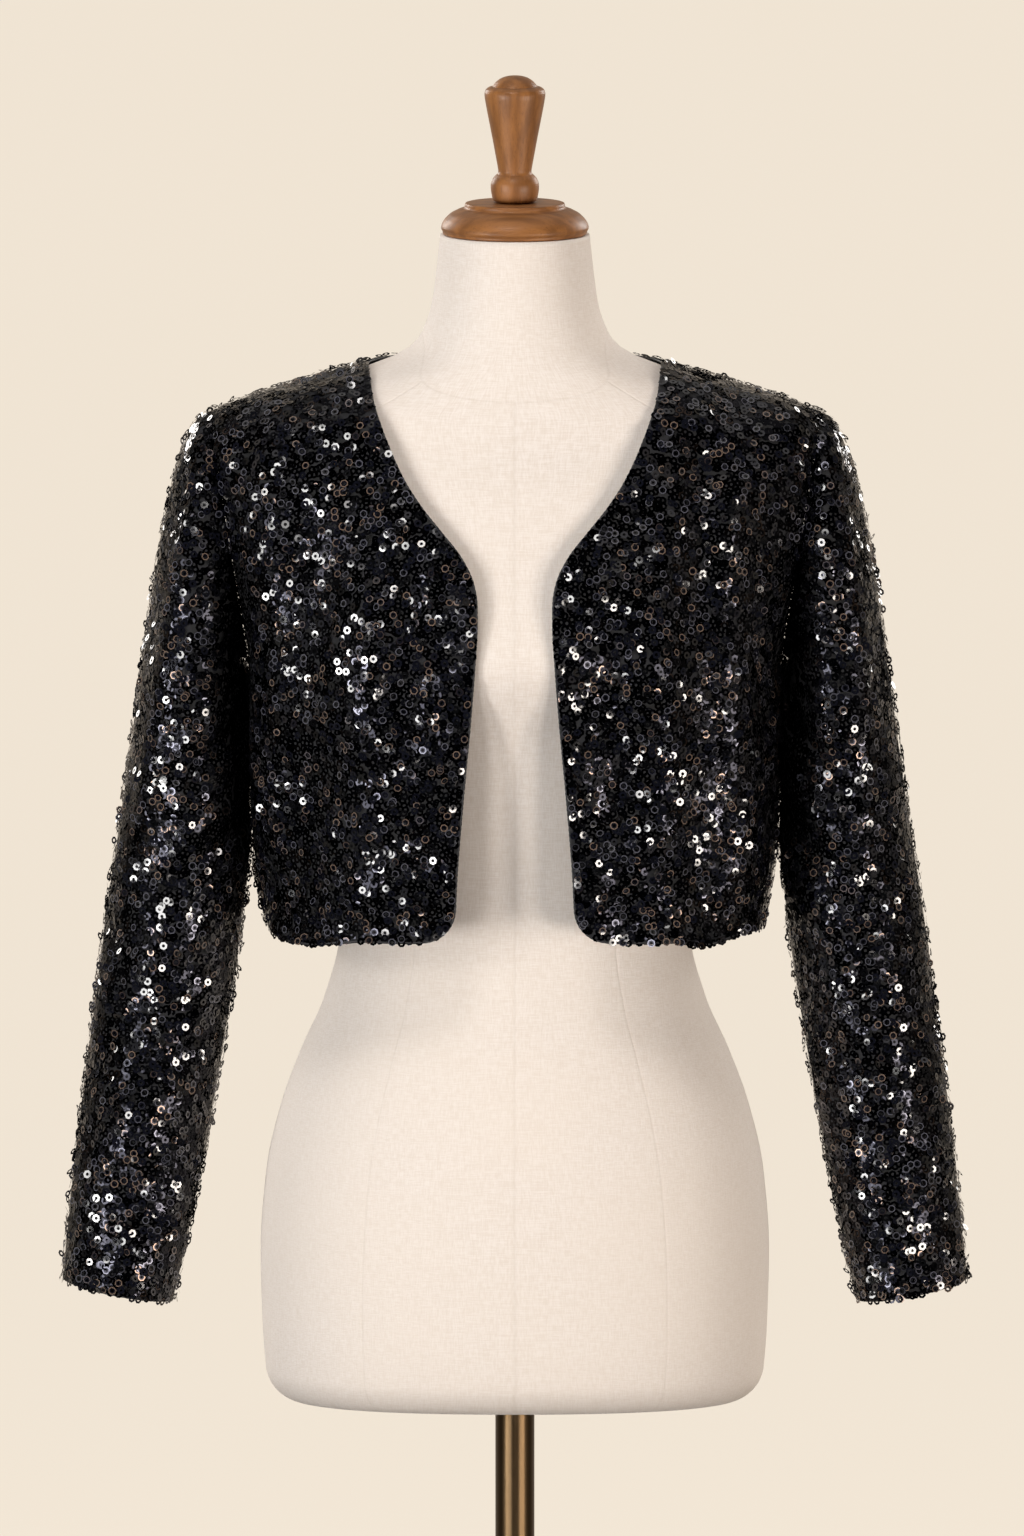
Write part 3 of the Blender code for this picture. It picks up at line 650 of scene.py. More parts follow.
def panel_surface(levels, shares, facing, side):
    """A panel's outside on +X, with its folds: rows of cubic curves from its edge to its side."""
    edge = front_edge_line(levels) if facing > 0 else back_edge_line(levels)
    far_side = side_line(levels, facing)
    leaves, handle, corner_x, corner_y = columns(FRONT_ROWS if facing > 0 else BACK_ROWS, levels)
    start = np.stack([np.cos(np.radians(leaves)), facing * np.sin(np.radians(leaves))], axis=-1)
    near, far = edge + (far_side - edge) / 3, edge + (far_side - edge) * 2 / 3
    near[:, :2] = edge[:, :2] + start * handle[:, None]
    far[:, :2] = np.stack([corner_x, corner_y], axis=-1)
    u = shares[None, :, None]
    a, b, c, d = (p[:, None, :] for p in (edge, near, far, far_side))
    points = a * (1 - u) ** 3 + 3 * b * u * (1 - u) ** 2 + 3 * c * u**2 * (1 - u) + d * u**3
    ease_u = np.sin(np.pi * shares) ** FOLD_EASE
    ease_v = np.clip(np.clip(2 - levels, 0, 1) ** (1 / ARM_POWER) * ARM_ROWS / FOLD_FREE_ROWS, 0, 1)
    height = 0.0
    for word, *line, rise in FRONT_FOLDS if facing > 0 else BACK_FOLDS:
        if word in (0, side):
            height = height + rise * fold_height(points[..., 0], points[..., 2], line)
    points = points + normals_of(points) * (facing * height * ease_u[None, :] * ease_v[:, None])[..., None]
    return clear_of_form(points, CLEARANCE)


CORNER_TOP = 0.115  # level where the rounded lower corner of a front ends
HEM_ROWS = CORNER_TOP * (1 - np.cos(np.linspace(0, np.pi / 2, 10)))[:-1]
HEM_FLAT = 5  # rows at the hem that take their normals from the row above them
SIDE_ROWS = np.linspace(CORNER_TOP, 1, 34)
ARM_FINE = 2 - (1 - np.arange(1, 45) / 44) ** ARM_POWER
LEVELS = np.concatenate([HEM_ROWS, SIDE_ROWS, ARM_FINE])
SHARES = np.linspace(0, 1, 56)
SLEEVE_ROWS = np.linspace(0, 1, 112)
SLEEVE_TURNS = np.linspace(0, 2 * np.pi, 84, endpoint=False)
print("rows of a panel:", len(LEVELS))

# %% [markdown]
# ## The cloth
# The real cloth is a dark net with the sequins sewn on it. The CAD wall stands for both together, so the net
# is a thinner skin inside that wall, and the sequins fill the rest. The two pieces at a seam turn in a little
# towards it. Each panel is one open skin with Solidify, which gives it its wall and its rims.

# %% The net panels
NET_DROP, NET_WALL = 0.8, 1.2
SEAM_DIP, SEAM_REACH = 0.6, 3.0


def steps_along(points, axis):
    """Length from the start of each line of a grid to each of its points, along one axis."""
    step = np.linalg.norm(np.diff(points, axis=axis), axis=-1)
    start = np.zeros_like(np.take(step, [0], axis=axis))
    return np.cumsum(np.concatenate([start, step], axis=axis), axis=axis)


def net_skin(points, normals, to_seam):
    """The net's outside: the cloth's outside moved in, and more so close to a seam."""
    return points - normals * (NET_DROP + SEAM_DIP * np.exp(-((to_seam / SEAM_REACH) ** 2)))[..., None]


def panel_skin(facing, side):
    """Net points and normals of one front or half back, on the side it belongs to."""
    points = panel_surface(LEVELS, SHARES, facing, side)
    normals = facing * normals_of(points)
    normals[:HEM_FLAT] = normals[HEM_FLAT]
    if facing < 0:
        normals[LEVELS <= BACK_NECK_V, 0, 0] = 0
        normals = unit(normals)
    across, up = steps_along(points, 1), steps_along(points, 0)
    to_seam = np.minimum(across[:, -1:] - across, up[-1:] - up)
    mirror = np.array([side, 1, 1])
    return net_skin(points, normals, to_seam) * mirror, normals * mirror


def sleeve_skin(side):
    """Net points and normals of one sleeve, on the side it belongs to."""
    points = sleeve_surface(SLEEVE_ROWS, SLEEVE_TURNS, side)
    normals = normals_of(points, closed=True)
    mirror = np.array([side, 1, 1])
    return net_skin(points, normals, steps_along(points, 0)) * mirror, normals * mirror


SKINS = {}
for side, word in ((1, "left"), (-1, "right")):
    SKINS["front_" + word] = panel_skin(1, side)
    SKINS["back_" + word] = panel_skin(-1, side)
    SKINS["sleeve_" + word] = sleeve_skin(side)
print("skins:", {name: skin[0].shape[:2] for name, skin in SKINS.items()})


# %% [markdown]
# The net shows only as darkness between the sequins. It is a matte, almost black mesh with fine holes. Real
# holes would take millions of faces for what is hardly seen, so a bump of small cells stands for them.

# %% Net material
NET_BLACK, NET_GREY = (0.0035, 0.0035, 0.004, 1), (0.010, 0.010, 0.013, 1)


def net_colour(tree):
    place = node(tree, "ShaderNodeTexCoord", {}, output=3)
    patches = node(tree, "ShaderNodeTexNoise", {}, place, Scale=120.0, Detail=3.0)
    return mix_colour(tree, patches.ramp(0.35, 0.7), NET_BLACK, NET_GREY)


def net_bump(tree):
    place = node(tree, "ShaderNodeTexCoord", {}, output=3)
    cells = node(tree, "ShaderNodeTexVoronoi", {}, place, Scale=900.0)
    return node(tree, "ShaderNodeBump", {}, Strength=0.5, Distance=0.0004, Height=cells)


NET = finish("black_net", net_colour, Roughness=0.85, Normal=net_bump)

FLAT_CUTS = {
    # piece: width and length of the cut, its area
    "front_left": (0.242, 0.482, 0.081),
    "front_right": (0.242, 0.482, 0.080),
    "back": (0.478, 0.536, 0.185),
    "sleeve_left": (0.429, 0.610, 0.156),
    "sleeve_right": (0.429, 0.610, 0.156),
}


def skin_faces(name):
    """Quads of a skin that face outwards: mirrored skins and backs turn round."""
    rows, across = SKINS[name][0].shape[:2]
    quads = grid_quads(rows, across, closed=name.startswith("sleeve"))
    turned = name.startswith("back") != name.endswith("right")
    return quads[:, ::-1] if turned else quads


def net_piece(name, *skins):
    """One panel of net: its skins welded where they meet, with the wall put inside."""
    points = np.concatenate([SKINS[skin][0].reshape(-1, 3) for skin in skins])
    starts = np.cumsum([0] + [SKINS[skin][0].size // 3 for skin in skins])
    faces = np.concatenate([skin_faces(skin) + start for skin, start in zip(skins, starts)])
    panel = new_piece("net_" + name, points, faces, NET, weld=0.02)
    wall = panel.modifiers.new("Wall", "SOLIDIFY")
    wall.thickness = NET_WALL * MM
    wall.offset = -1
    return placed(panel, "sequin_cloth", name)


NETS = {"back": net_piece("back", "back_left", "back_right")}
for name in ("front_left", "front_right", "sleeve_left", "sleeve_right"):
    NETS[name] = net_piece(name, name)


def skin_area(name):
    """Area of a skin in square metres: the cross product of each cell's diagonals, halved."""
    p = SKINS[name][0]
    if name.startswith("sleeve"):
        p = np.concatenate([p, p[:, :1]], axis=1)
    cell = np.cross(p[1:, 1:] - p[:-1, :-1], p[1:, :-1] - p[:-1, 1:])
    return np.linalg.norm(cell, axis=-1).sum() / 2 * MM * MM


for name, (points, _) in SKINS.items():
    width, height = steps_along(points, 1)[:, -1].max(), steps_along(points, 0)[-1].max()
    print(name, "widest %.0f mm, longest %.0f mm, area %.4f m2" % (width, height, skin_area(name)))

# %% [markdown]
# ## The rolled edge
# All round the opening, and at each cuff, the net is rolled and overcast with thread. It is a thin tube along
# the border, with a low ridge for each stitch.


# %% Rolled edges
def evenly(points, step, closed):
    """Points of a line read again at even steps of its length."""
    if closed:
        points = np.concatenate([points, points[:1]])
    length = steps_along(points, 0)
    count = int(round(length[-1] / step))
    at = np.linspace(0, length[-1], count, endpoint=not closed)
    return np.stack([np.interp(at, length, column) for column in points.T], axis=-1)


EDGE_RADIUS, EDGE_SIDES, EDGE_STEP, EDGE_SMOOTHINGS = 0.80, 6, 0.9, 6
STITCH_PITCH, STITCH_SWELL = 3.6, 0.13


def rolled_edge(name, line):
    """A tube round a closed line: rings square to it, each swelling a little once for every stitch."""
    centre = evenly(line, EDGE_STEP, closed=True)
    for _ in range(EDGE_SMOOTHINGS):
        centre = (np.roll(centre, 1, axis=0) + 2 * centre + np.roll(centre, -1, axis=0)) / 4
    ahead = unit(np.roll(centre, -1, axis=0) - np.roll(centre, 1, axis=0))
    outward = centre - [0, 0, 1] * centre
    outward = outward - np.sum(outward * ahead, axis=-1, keepdims=True) * ahead
    outward = unit(outward)
    third = np.cross(ahead, outward)
    turn = np.linspace(0, 2 * np.pi, EDGE_SIDES, endpoint=False)[None, :, None]
    along = np.arange(len(centre))[:, None, None] * EDGE_STEP
    radius = EDGE_RADIUS * (1 + STITCH_SWELL * np.sin(2 * np.pi * along / STITCH_PITCH + turn))
    rings = centre[:, None] + radius * (outward[:, None] * np.cos(turn) + third[:, None] * np.sin(turn))
    rings = np.concatenate([rings, rings[:1]])
    faces = grid_quads(len(rings), EDGE_SIDES, closed=True)[:, ::-1]
    return placed(new_piece(name, rings, faces, EDGE_THREAD, weld=0.01), "sequin_cloth")


THREAD_BLACK, THREAD_GREY = (0.006, 0.006, 0.007, 1), (0.022, 0.021, 0.024, 1)


def edge_colour(tree):
    place = node(tree, "ShaderNodeTexCoord", {}, output=3)
    patches = node(tree, "ShaderNodeTexNoise", {}, place, Scale=300.0, Detail=2.0)
    return mix_colour(tree, patches, THREAD_BLACK, THREAD_GREY)


EDGE_THREAD = finish("black_thread", edge_colour, Roughness=0.55)


def wall_middle(name):
    """The middle of a net's wall, for an edge to be rolled round."""
    points, normals = SKINS[name]
    return points - normals * NET_WALL / 2


def half_opening(word):
    """From the centre back hem round the hem, up the front edge and round the neck to the centre back."""
    front, back = wall_middle("front_" + word), wall_middle("back_" + word)
    above = LEVELS >= BACK_NECK_V
    return np.concatenate([back[0, :-1], front[0, ::-1], front[1:-1, 0], back[above, 0][::-1]])


OPENING = np.concatenate([half_opening("left"), half_opening("right")[::-1][1:-1]])
EDGES = [rolled_edge("edge_opening", OPENING)]
for word in ("left", "right"):
    EDGES.append(rolled_edge("edge_cuff_" + word, wall_middle("sleeve_" + word)[-1]))
print("edges:", [len(edge.data.vertices) for edge in EDGES])

# %% [markdown]
# ## The sequins
# About forty-four thousand small rings are sewn on, close enough to overlap. Placing them by a particle
# system would leave their order to chance, so they are laid by a rule: rows of a honeycomb are mapped to the
# surface so that each has the same share of its area, and then each ring is nudged and tipped a little.
# Neighbours tip alike, which gathers the glints into the loose clusters and streaks of the real cloth.

# %% Spreading the sequins over a skin
SEQUIN_SPACING = 4.15
SEQUIN_OUTER, SEQUIN_HOLE, SEQUIN_SIDES = 2.8, 1.15, 7
ROW_PITCH = 0.866  # of a spacing, between the rows of a honeycomb
ROW_MARGIN, PLACE_MARGIN = 0.22, 0.25  # from the ends of a skin to its first row and to a row's first ring
NUDGE = 0.42  # the most that a ring is off its place
PAST_ARMHOLE, PAST_CUFF, PAST_HEM, PAST_SHOULDER = 0.3, 0.35, 0.35, 0.0  # most overhang, in row pitches
SIDE_END = 1.004  # share of a row's width at which its last ring may lie
print("a sequin is", SEQUIN_OUTER * 2, "mm across")


def spread(points, normals, spacing, closed, inset):
    """Places and normals of a honeycomb whose rows and columns hold equal areas of the skin.

    Rings of the row at the hem or cuff may hang past it a little, and none comes closer to the open edge
    than inset millimetres.

    The height of a row is read from the running total of the rows' areas, and the place along the row from
    the running total of its cells' areas.
    """
    if closed:
        points = np.concatenate([points, points[:, :1]], axis=1)
        normals = np.concatenate([normals, normals[:, :1]], axis=1)
    cell = np.cross(points[1:, 1:] - points[:-1, :-1], points[1:, :-1] - points[:-1, 1:])
    area = np.linalg.norm(cell, axis=-1) / 2
    row_total = np.append(0, np.cumsum(area.sum(axis=1)))
    width = np.average(steps_along(points, 1)[1:, -1], weights=area.sum(axis=1))
    per_row = int(round(width / spacing))
    count = int(round(row_total[-1] / width / (spacing * ROW_PITCH)))
    height = count - 1 + 2 * ROW_MARGIN
    row, place = (a.ravel() for a in np.meshgrid(np.arange(count), np.arange(per_row), indexing="ij"))
    nudge = RANDOM.uniform(-NUDGE, NUDGE, (2, len(row)))
    below, above = (PAST_ARMHOLE, PAST_CUFF) if closed else (PAST_HEM, PAST_SHOULDER)
    up = np.clip(row + ROW_MARGIN + nudge[0], -below, height + above) / height * row_total[-1]
    across = (place + PLACE_MARGIN + 0.5 * (row % 2) + nudge[1]) / per_row
    across = across % 1.0 if closed else np.clip(across, inset / width, SIDE_END)
    i = np.clip(np.searchsorted(row_total, up, side="right") - 1, 0, len(area) - 1)
    v = (up - row_total[i]) / (row_total[i + 1] - row_total[i])
    in_row = np.cumsum(area, axis=1) / area.sum(axis=1, keepdims=True)
    in_row = np.concatenate([np.zeros((len(in_row), 1)), in_row], axis=1)
    j = np.minimum((in_row[i] <= across[:, None]).sum(axis=1) - 1, area.shape[1] - 1)
    u = (across - in_row[i, j]) / (in_row[i, j + 1] - in_row[i, j])
    u, v = u[:, None], v[:, None]

    def read(grid):
        low = grid[i, j] * (1 - u) + grid[i, j + 1] * u
        high = grid[i + 1, j] * (1 - u) + grid[i + 1, j + 1] * u
        return low * (1 - v) + high * v

    return read(points), unit(read(normals))


# %% [markdown]
# Chance alone would spread the glints evenly. A slow wave through space, made of a few sine waves, gives
# neighbours nearly the same value, so it can steer where rings tip loosely and which way they lean.

# %% Slow waves
WAVE_COUNT, WAVE_SPREAD = 6, 2.6
WAVES = {
    # what they steer: each wave's height, length in mm, seed, and how much going up counts
    "streaks": [(1.0, 60.0, 9, 0.5), (0.6, 24.0, 10, 1.0)],
    "sideways": [(0.22, 62.0, 5, 1.0), (0.12, 23.0, 7, 1.0)],
    "upwards": [(0.19, 62.0, 6, 1.0), (0.10, 23.0, 8, 1.0)],
}


def slow_wave(places, length, seed):
    """A smooth value between about -1 and 1 at each place: sine waves in random directions, added."""
    chance = np.random.default_rng(seed)
    directions = unit(chance.normal(size=(WAVE_COUNT, 3))) * 2 * np.pi / length
    directions = directions * chance.uniform(0.6, 1.5, (WAVE_COUNT, 1))
    return np.sin(places @ directions.T + chance.uniform(0, 6.28, WAVE_COUNT)).sum(axis=1) / WAVE_SPREAD


def waves_at(places, steered):
    """The waves that steer one thing, added."""
    rows = WAVES[steered]
    return sum(height * slow_wave(places * [1, 1, up], length, seed) for height, length, seed, up in rows)


# %% [markdown]
# The rings lie in two layers. Those under are nearly flat and close the gaps, and painted shade in their
# material keeps them dark. About a third lie on top, and there some hang loosely and tip far, mostly in
# streaks that run down the cloth. A ring is lifted by as much as its tip needs. It is seven quads between
# its hole and its rim, dished a little, so that a glint often fills only a part of it.

# %% Tipping and drawing the rings
EDGE_INSET, SEAM_INSET = 2.4, 0.3  # how close a centre may come to a front's open edge, and to other borders
TOP_SHARE = 0.36
STREAK_FROM, STREAK_SHARE, CALM_SHARE = 0.30, 0.46, 0.07  # share of the rings on top that hang loosely
LOOSE_TIP, TOP_TIP, UNDER_TIP, MOST_TIP = 0.36, 0.12, 0.05, 0.6  # spread of the tips, in radians
UNDER_ALIKE, TIP_DOWN = 0.35, 0.03  # how much of the waves the lower layer follows; all hang down a little
TOP_LIFT, UNDER_LIFT, LIFT_NUDGE = 1.15, 0.10, 0.35  # off the net, and the chance part of it
TOP_RISE, UNDER_RISE = 0.8, 0.3  # share of a tipped rim's reach that a ring is lifted by
RING_SIZES, RING_DISH = (0.94, 1.05), (-0.04, 0.08)  # times the size; how far the rim stands up
# Painted shade on the rings deep between a sleeve and the body: where it lies and how strong it is.
TROUGH_X, TROUGH_WIDTH, TROUGH_TOP, TROUGH_SHADE = 194, 20, 1300, 1.15
TROUGH_FRONT, TROUGH_FOOT = (-80, 40), (1060, 60)  # where the dark begins, and how far on it is full


def trough_shade(places):
    """Painted shade: 1 deep between a sleeve and the body, where hardly any light comes, and 0 away from
    there.
    """
    x, y, z = places.T
    beside = np.exp(-(((np.abs(x) - TROUGH_X) / TROUGH_WIDTH) ** 2)) * (z < TROUGH_TOP)
    behind = np.clip((y - TROUGH_FRONT[0]) / TROUGH_FRONT[1], 0, 1)
    return beside * (behind * np.clip((z - TROUGH_FOOT[0]) / TROUGH_FOOT[1], 0, 1))


def tip_and_lift(places, normal, on_top):
    """Centres of the rings, the direction each faces, and the direction up the cloth."""
    count = len(places)
    sideways = unit(np.cross(normal, [0.03, 0.05, 1.0]))
    upward = np.cross(sideways, normal)
    share = np.where(waves_at(places, "streaks") > STREAK_FROM, STREAK_SHARE, CALM_SHARE)
    hangs = RANDOM.uniform(size=count) < share
    loose = np.where(on_top, np.where(hangs, LOOSE_TIP, TOP_TIP), UNDER_TIP)
    tip = np.clip(RANDOM.normal(size=(2, count)) * loose, -MOST_TIP, MOST_TIP)
    reach = SEQUIN_OUTER * np.sin(np.hypot(*tip))
    alike = np.where(on_top, 1.0, UNDER_ALIKE)
    tip[0] += alike * waves_at(places, "sideways")
    tip[1] += alike * (waves_at(places, "upwards") - TIP_DOWN)
    facing = unit(normal + sideways * np.tan(tip[0])[:, None] + upward * np.tan(tip[1])[:, None])
    lift = np.where(on_top, TOP_LIFT + TOP_RISE * reach, UNDER_LIFT + UNDER_RISE * reach)
    return places + normal * (lift + RANDOM.uniform(0, LIFT_NUDGE, count))[:, None], facing, upward


def rings(centre, facing, upward):
    """Corners and quads of rings: seven corners round each hole and seven round the rim."""
    count = len(centre)
    first = unit(np.cross(facing, upward + 0.01))
    second = np.cross(facing, first)
    turn = np.linspace(0, 2 * np.pi, SEQUIN_SIDES, endpoint=False) + RANDOM.uniform(0, 1, (count, 1))
    size = RANDOM.uniform(*RING_SIZES, (count, 1))
    spoke = first[:, None] * np.cos(turn)[..., None] + second[:, None] * np.sin(turn)[..., None]
    dish = RANDOM.uniform(*RING_DISH, (count, 1, 1)) * facing[:, None]
    hole = centre[:, None] + spoke * (SEQUIN_HOLE * size)[..., None]
    rim = centre[:, None] + spoke * (SEQUIN_OUTER * size)[..., None] + dish
    k = np.arange(SEQUIN_SIDES)
    after = (k + 1) % SEQUIN_SIDES
    ring = np.stack([k, SEQUIN_SIDES + k, SEQUIN_SIDES + after, after], axis=-1)
    quads = ring[None] + np.arange(count)[:, None, None] * 2 * SEQUIN_SIDES
    return np.stack([hole, rim], axis=1).reshape(-1, 3), quads.reshape(-1, 4)


# %% [markdown]
# Each ring carries three marks for its material. The tint is a random number, the rim tells its edge from
# its hole, and the third mark is painted shade: 1 for the lower layer. Rings on top get painted shade too
# where they lie deep between sleeve and body, since those are as dark in the photograph.


# %% One mesh of rings
def sequin_piece(name, skin, material):
    """All sequins of one skin as one piece."""
    points, normals = SKINS[skin]
    inset = EDGE_INSET if skin.startswith("front") else SEAM_INSET
    places, normal = spread(points, normals, SEQUIN_SPACING, skin.startswith("sleeve"), inset)
    count, corners_each = len(places), 2 * SEQUIN_SIDES
    on_top = RANDOM.uniform(size=count) < TOP_SHARE
    corners, quads = rings(*tip_and_lift(places, normal, on_top))
    # Painted shade of each ring: full for the lower layer, and for rings on top by how deep they lie in the
    # trough.
    ring_shade = np.where(on_top, TROUGH_SHADE * trough_shade(places), 1.0).clip(0, 1)
    marks = {
        "tint": np.repeat(RANDOM.uniform(size=count), corners_each),
        "rim": np.tile(np.repeat([0.0, 1.0], SEQUIN_SIDES), count),
        "painted_shade": np.repeat(ring_shade, corners_each),
    }
    piece = new_piece(name, corners, quads, material, marks=marks)
    print(name, "sequins:", count, "triangles:", count * corners_each)
    return placed(piece, "sequin_cloth")


# %% [markdown]
# A black sequin is a glossy plastic. Most are neutral or blue-black. Where a cut rim would catch a soft
# light, a thin grey or brown line is painted into the base colour near the rim, a painted highlight. The tint
# chooses the colour, the painted rim highlight and the gloss. The lower layer mirrors like a nearly black
# metal, a painted-shade copy of the sequin material that keeps the depth between the rings dark.

# %% Sequin material
DISC_BLACK, DISC_BLUE = (0.0015, 0.0015, 0.0018, 1), (0.0042, 0.0046, 0.0085, 1)
# Painted shade: the lower layer and the rings deep in the trough take this nearly black colour, as a metal.
DISC_PAINTED_SHADE = (0.0080, 0.0080, 0.0100, 1)
# Painted highlight: thin grey and brown lines near the rims stand for rims catching a soft light.
RIM_HIGHLIGHT_GREY, RIM_HIGHLIGHT_BROWN = (0.082, 0.082, 0.100, 1), (0.160, 0.112, 0.083, 1)
RIM_CYCLE, GLOSS_CYCLE = 61.0, 37.0  # sines of the tint, so that one random number chooses several things


def mark(tree, name):
    """A number that each point of a mesh carries."""
    return node(tree, "ShaderNodeAttribute", {"attribute_name": name}, output=2)


def sequin_tint(tree):
    tint, rim, painted_shade = mark(tree, "tint"), mark(tree, "rim"), mark(tree, "painted_shade")
    disc = mix_colour(tree, tint.ramp(0.30, 0.50), DISC_BLACK, DISC_BLUE)
    # Painted shade: shaded rings take the nearly black colour.
    disc = mix_colour(tree, painted_shade, disc, DISC_PAINTED_SHADE)
    # The painted rim highlight: a grey or brown line near the rim on about half the rings, fainter where
    # there is painted shade.
    edge = mix_colour(tree, tint.ramp(0.62, 0.66), RIM_HIGHLIGHT_GREY, RIM_HIGHLIGHT_BROWN)
    highlight_shows = (tint * RIM_CYCLE).sin().ramp(0.1, 0.9) * (1 - painted_shade * 0.6)
    outline = rim.ramp(0.42, 0.72) * highlight_shows
    return mix_colour(tree, outline, disc, edge)


# Metallic from the painted shade mark: shaded rings mirror like a nearly black metal.
def painted_shade_metal(tree):
    return mark(tree, "painted_shade")


def sequin_roughness(tree):
    return 0.04 + (mark(tree, "tint") * GLOSS_CYCLE).sin().abs() * 0.07


SEQUIN = finish("black_sequin", sequin_tint, Roughness=sequin_roughness, Metallic=painted_shade_metal, IOR=1.62)
for skin in SKINS:
    sequin_piece("sequins_" + skin, skin, SEQUIN)

# %% [markdown]
# ## The dress form
# The torso is covered in natural linen, cut in panels: a seam runs down the middle of the front and of the
# back, one down each princess line and each side, and one round the base of the neck. The grid has extra
# columns and rows beside those seams, so that each is a real narrow groove.

# %% The torso
PRINCESS = 34.0  # degrees from the middle of the front or back to a princess seam
SEAM_ANGLES = np.array([0, 90 - PRINCESS, 90, 90 + PRINCESS, 180, 270 - PRINCESS, 270, 270 + PRINCESS, 360])
SEAM_STEPS = np.array([-1.2, -0.5, -0.24, 0, 0.24, 0.5, 1.2])  # degrees of the columns beside a seam
BETWEEN_SEAMS = 14
GROOVE_DEPTH, GROOVE_WIDTH = 0.22, 0.50
SOCKET_R, SOCKET_DEPTH = 13.8, 70.0
NECK_SEAM_SIDE, NECK_SEAM_FRONT_DIP, NECK_SEAM_BACK_DIP = 1452, 42, 16
SHOULDER_Z = 1370  # above it the rows bend until they follow the neck seam


def form_point(angle, z, inset=0.0):
    """A point of the torso: a superellipse, deeper in front or behind, at each height."""
    half_width, front, back, square = columns(FORM, z)
    depth = np.where(np.sin(angle) > 0, front, back) - inset
    across = np.sign(np.cos(angle)) * np.abs(np.cos(angle)) ** (2 / square)
    along = np.sign(np.sin(angle)) * np.abs(np.sin(angle)) ** (2 / square)
    return np.stack([(half_width - inset) * across, -depth * along, z + 0 * angle], axis=-1)


def neck_seam_height(angle):
    """Height of the neck seam at each angle: lowest in front, highest at the sides."""
    front, back = np.clip(np.sin(angle), 0, 1) ** 2, np.clip(-np.sin(angle), 0, 1) ** 2
    return NECK_SEAM_SIDE - NECK_SEAM_FRONT_DIP * front - NECK_SEAM_BACK_DIP * back


def seam_columns():
    """Angles round the torso, 0 on +X, with close columns at each seam."""
    angles = []
    for low, high in zip(SEAM_ANGLES[:-1], SEAM_ANGLES[1:]):
        between = np.linspace(low + SEAM_STEPS[-1], high + SEAM_STEPS[0], BETWEEN_SEAMS + 2)[1:-1]
        angles.append(np.concatenate([low + SEAM_STEPS[3:], between, high + SEAM_STEPS[:3]]))
    return np.radians(np.concatenate(angles))


TURNS = seam_columns()
NECK_SEAM_BAND = 6
NECK_SEAM_ROWS = np.array([-NECK_SEAM_BAND, -3, -1.6, -0.8, -0.4, 0, 0.4, 0.8, 1.6, 3, NECK_SEAM_BAND])


def torso_grid():
    """Rows of the torso from its socket, over the rounded lower edge and up to the neck's top."""
    ring = np.stack([np.cos(TURNS), -np.sin(TURNS), 0 * TURNS], axis=-1)
    socket = ((0.01, SOCKET_DEPTH), (SOCKET_R, SOCKET_DEPTH), (SOCKET_R, 0))
    rows = [ring * radius + [0, 0, FORM_BOTTOM + depth] for radius, depth in socket]
    outline = form_point(TURNS, np.full_like(TURNS, FORM_BOTTOM), FORM_ROUNDING)
    rows += [rows[2] + (outline - rows[2]) * share for share in (0.02, 0.3, 0.6, 0.85)]
    for turn in np.radians(np.linspace(0, 90, 12)):
        z = FORM_BOTTOM + FORM_ROUNDING * (1 - np.cos(turn))
        rows.append(form_point(TURNS, np.full_like(TURNS, z), FORM_ROUNDING * (1 - np.sin(turn))))
    seam = neck_seam_height(TURNS)
    below, above = seam - NECK_SEAM_BAND, seam + NECK_SEAM_BAND
    heights = [np.full_like(TURNS, z) for z in np.linspace(FORM_BOTTOM + FORM_ROUNDING, SHOULDER_Z, 110)[1:]]
    heights += [SHOULDER_Z + (below - SHOULDER_Z) * share for share in np.linspace(0, 1, 14)[1:-1]]
    heights += [seam + offset for offset in NECK_SEAM_ROWS]
    heights += [above + (NECK_TOP - above) * share for share in np.linspace(0, 1, 26)[1:]]
    rows += [form_point(TURNS, z) for z in heights]
    rows.append(rows[-1] * [0.9, 0.9, 1])
    rows.append(rows[-1] * [0.001, 0.001, 1])
    return np.array(rows)


def groove(points):
    """How deep each point lies in a seam: a narrow bell across the seam, by its distance in millimetres."""
    radius = np.hypot(points[..., 0], points[..., 1])
    nearest = np.abs(TURNS[:, None] - np.radians(SEAM_ANGLES)[None]).min(axis=1)
    upright = np.exp(-((nearest[None] * radius / GROOVE_WIDTH) ** 2))
    level = np.exp(-(((points[..., 2] - neck_seam_height(TURNS)[None]) / GROOVE_WIDTH) ** 2))
    on_side = (points[..., 2] > FORM_BOTTOM + 2) & (points[..., 2] < NECK_TOP - 1) & (radius > SOCKET_R + 5)
    above = points[..., 2] > neck_seam_height(TURNS)[None]
    return np.where(on_side, np.maximum(np.where(above, 0, upright), level), 0)


TORSO = torso_grid()
SEAMED = groove(TORSO)
TORSO = TORSO + normals_of(TORSO, closed=True) * (SEAMED * GROOVE_DEPTH)[..., None]
print("torso grid:", TORSO.shape[:2])

# %% [markdown]
# Linen has uneven threads. Noises drawn out along the one or the other thread direction give the slubs of
# the warp and of the weft, without the moire that regular stripes would show from afar. They follow the UV
# map, in which each half of the cover is laid flat from its middle seam, so the weave bends round the body
# as cut cloth does.

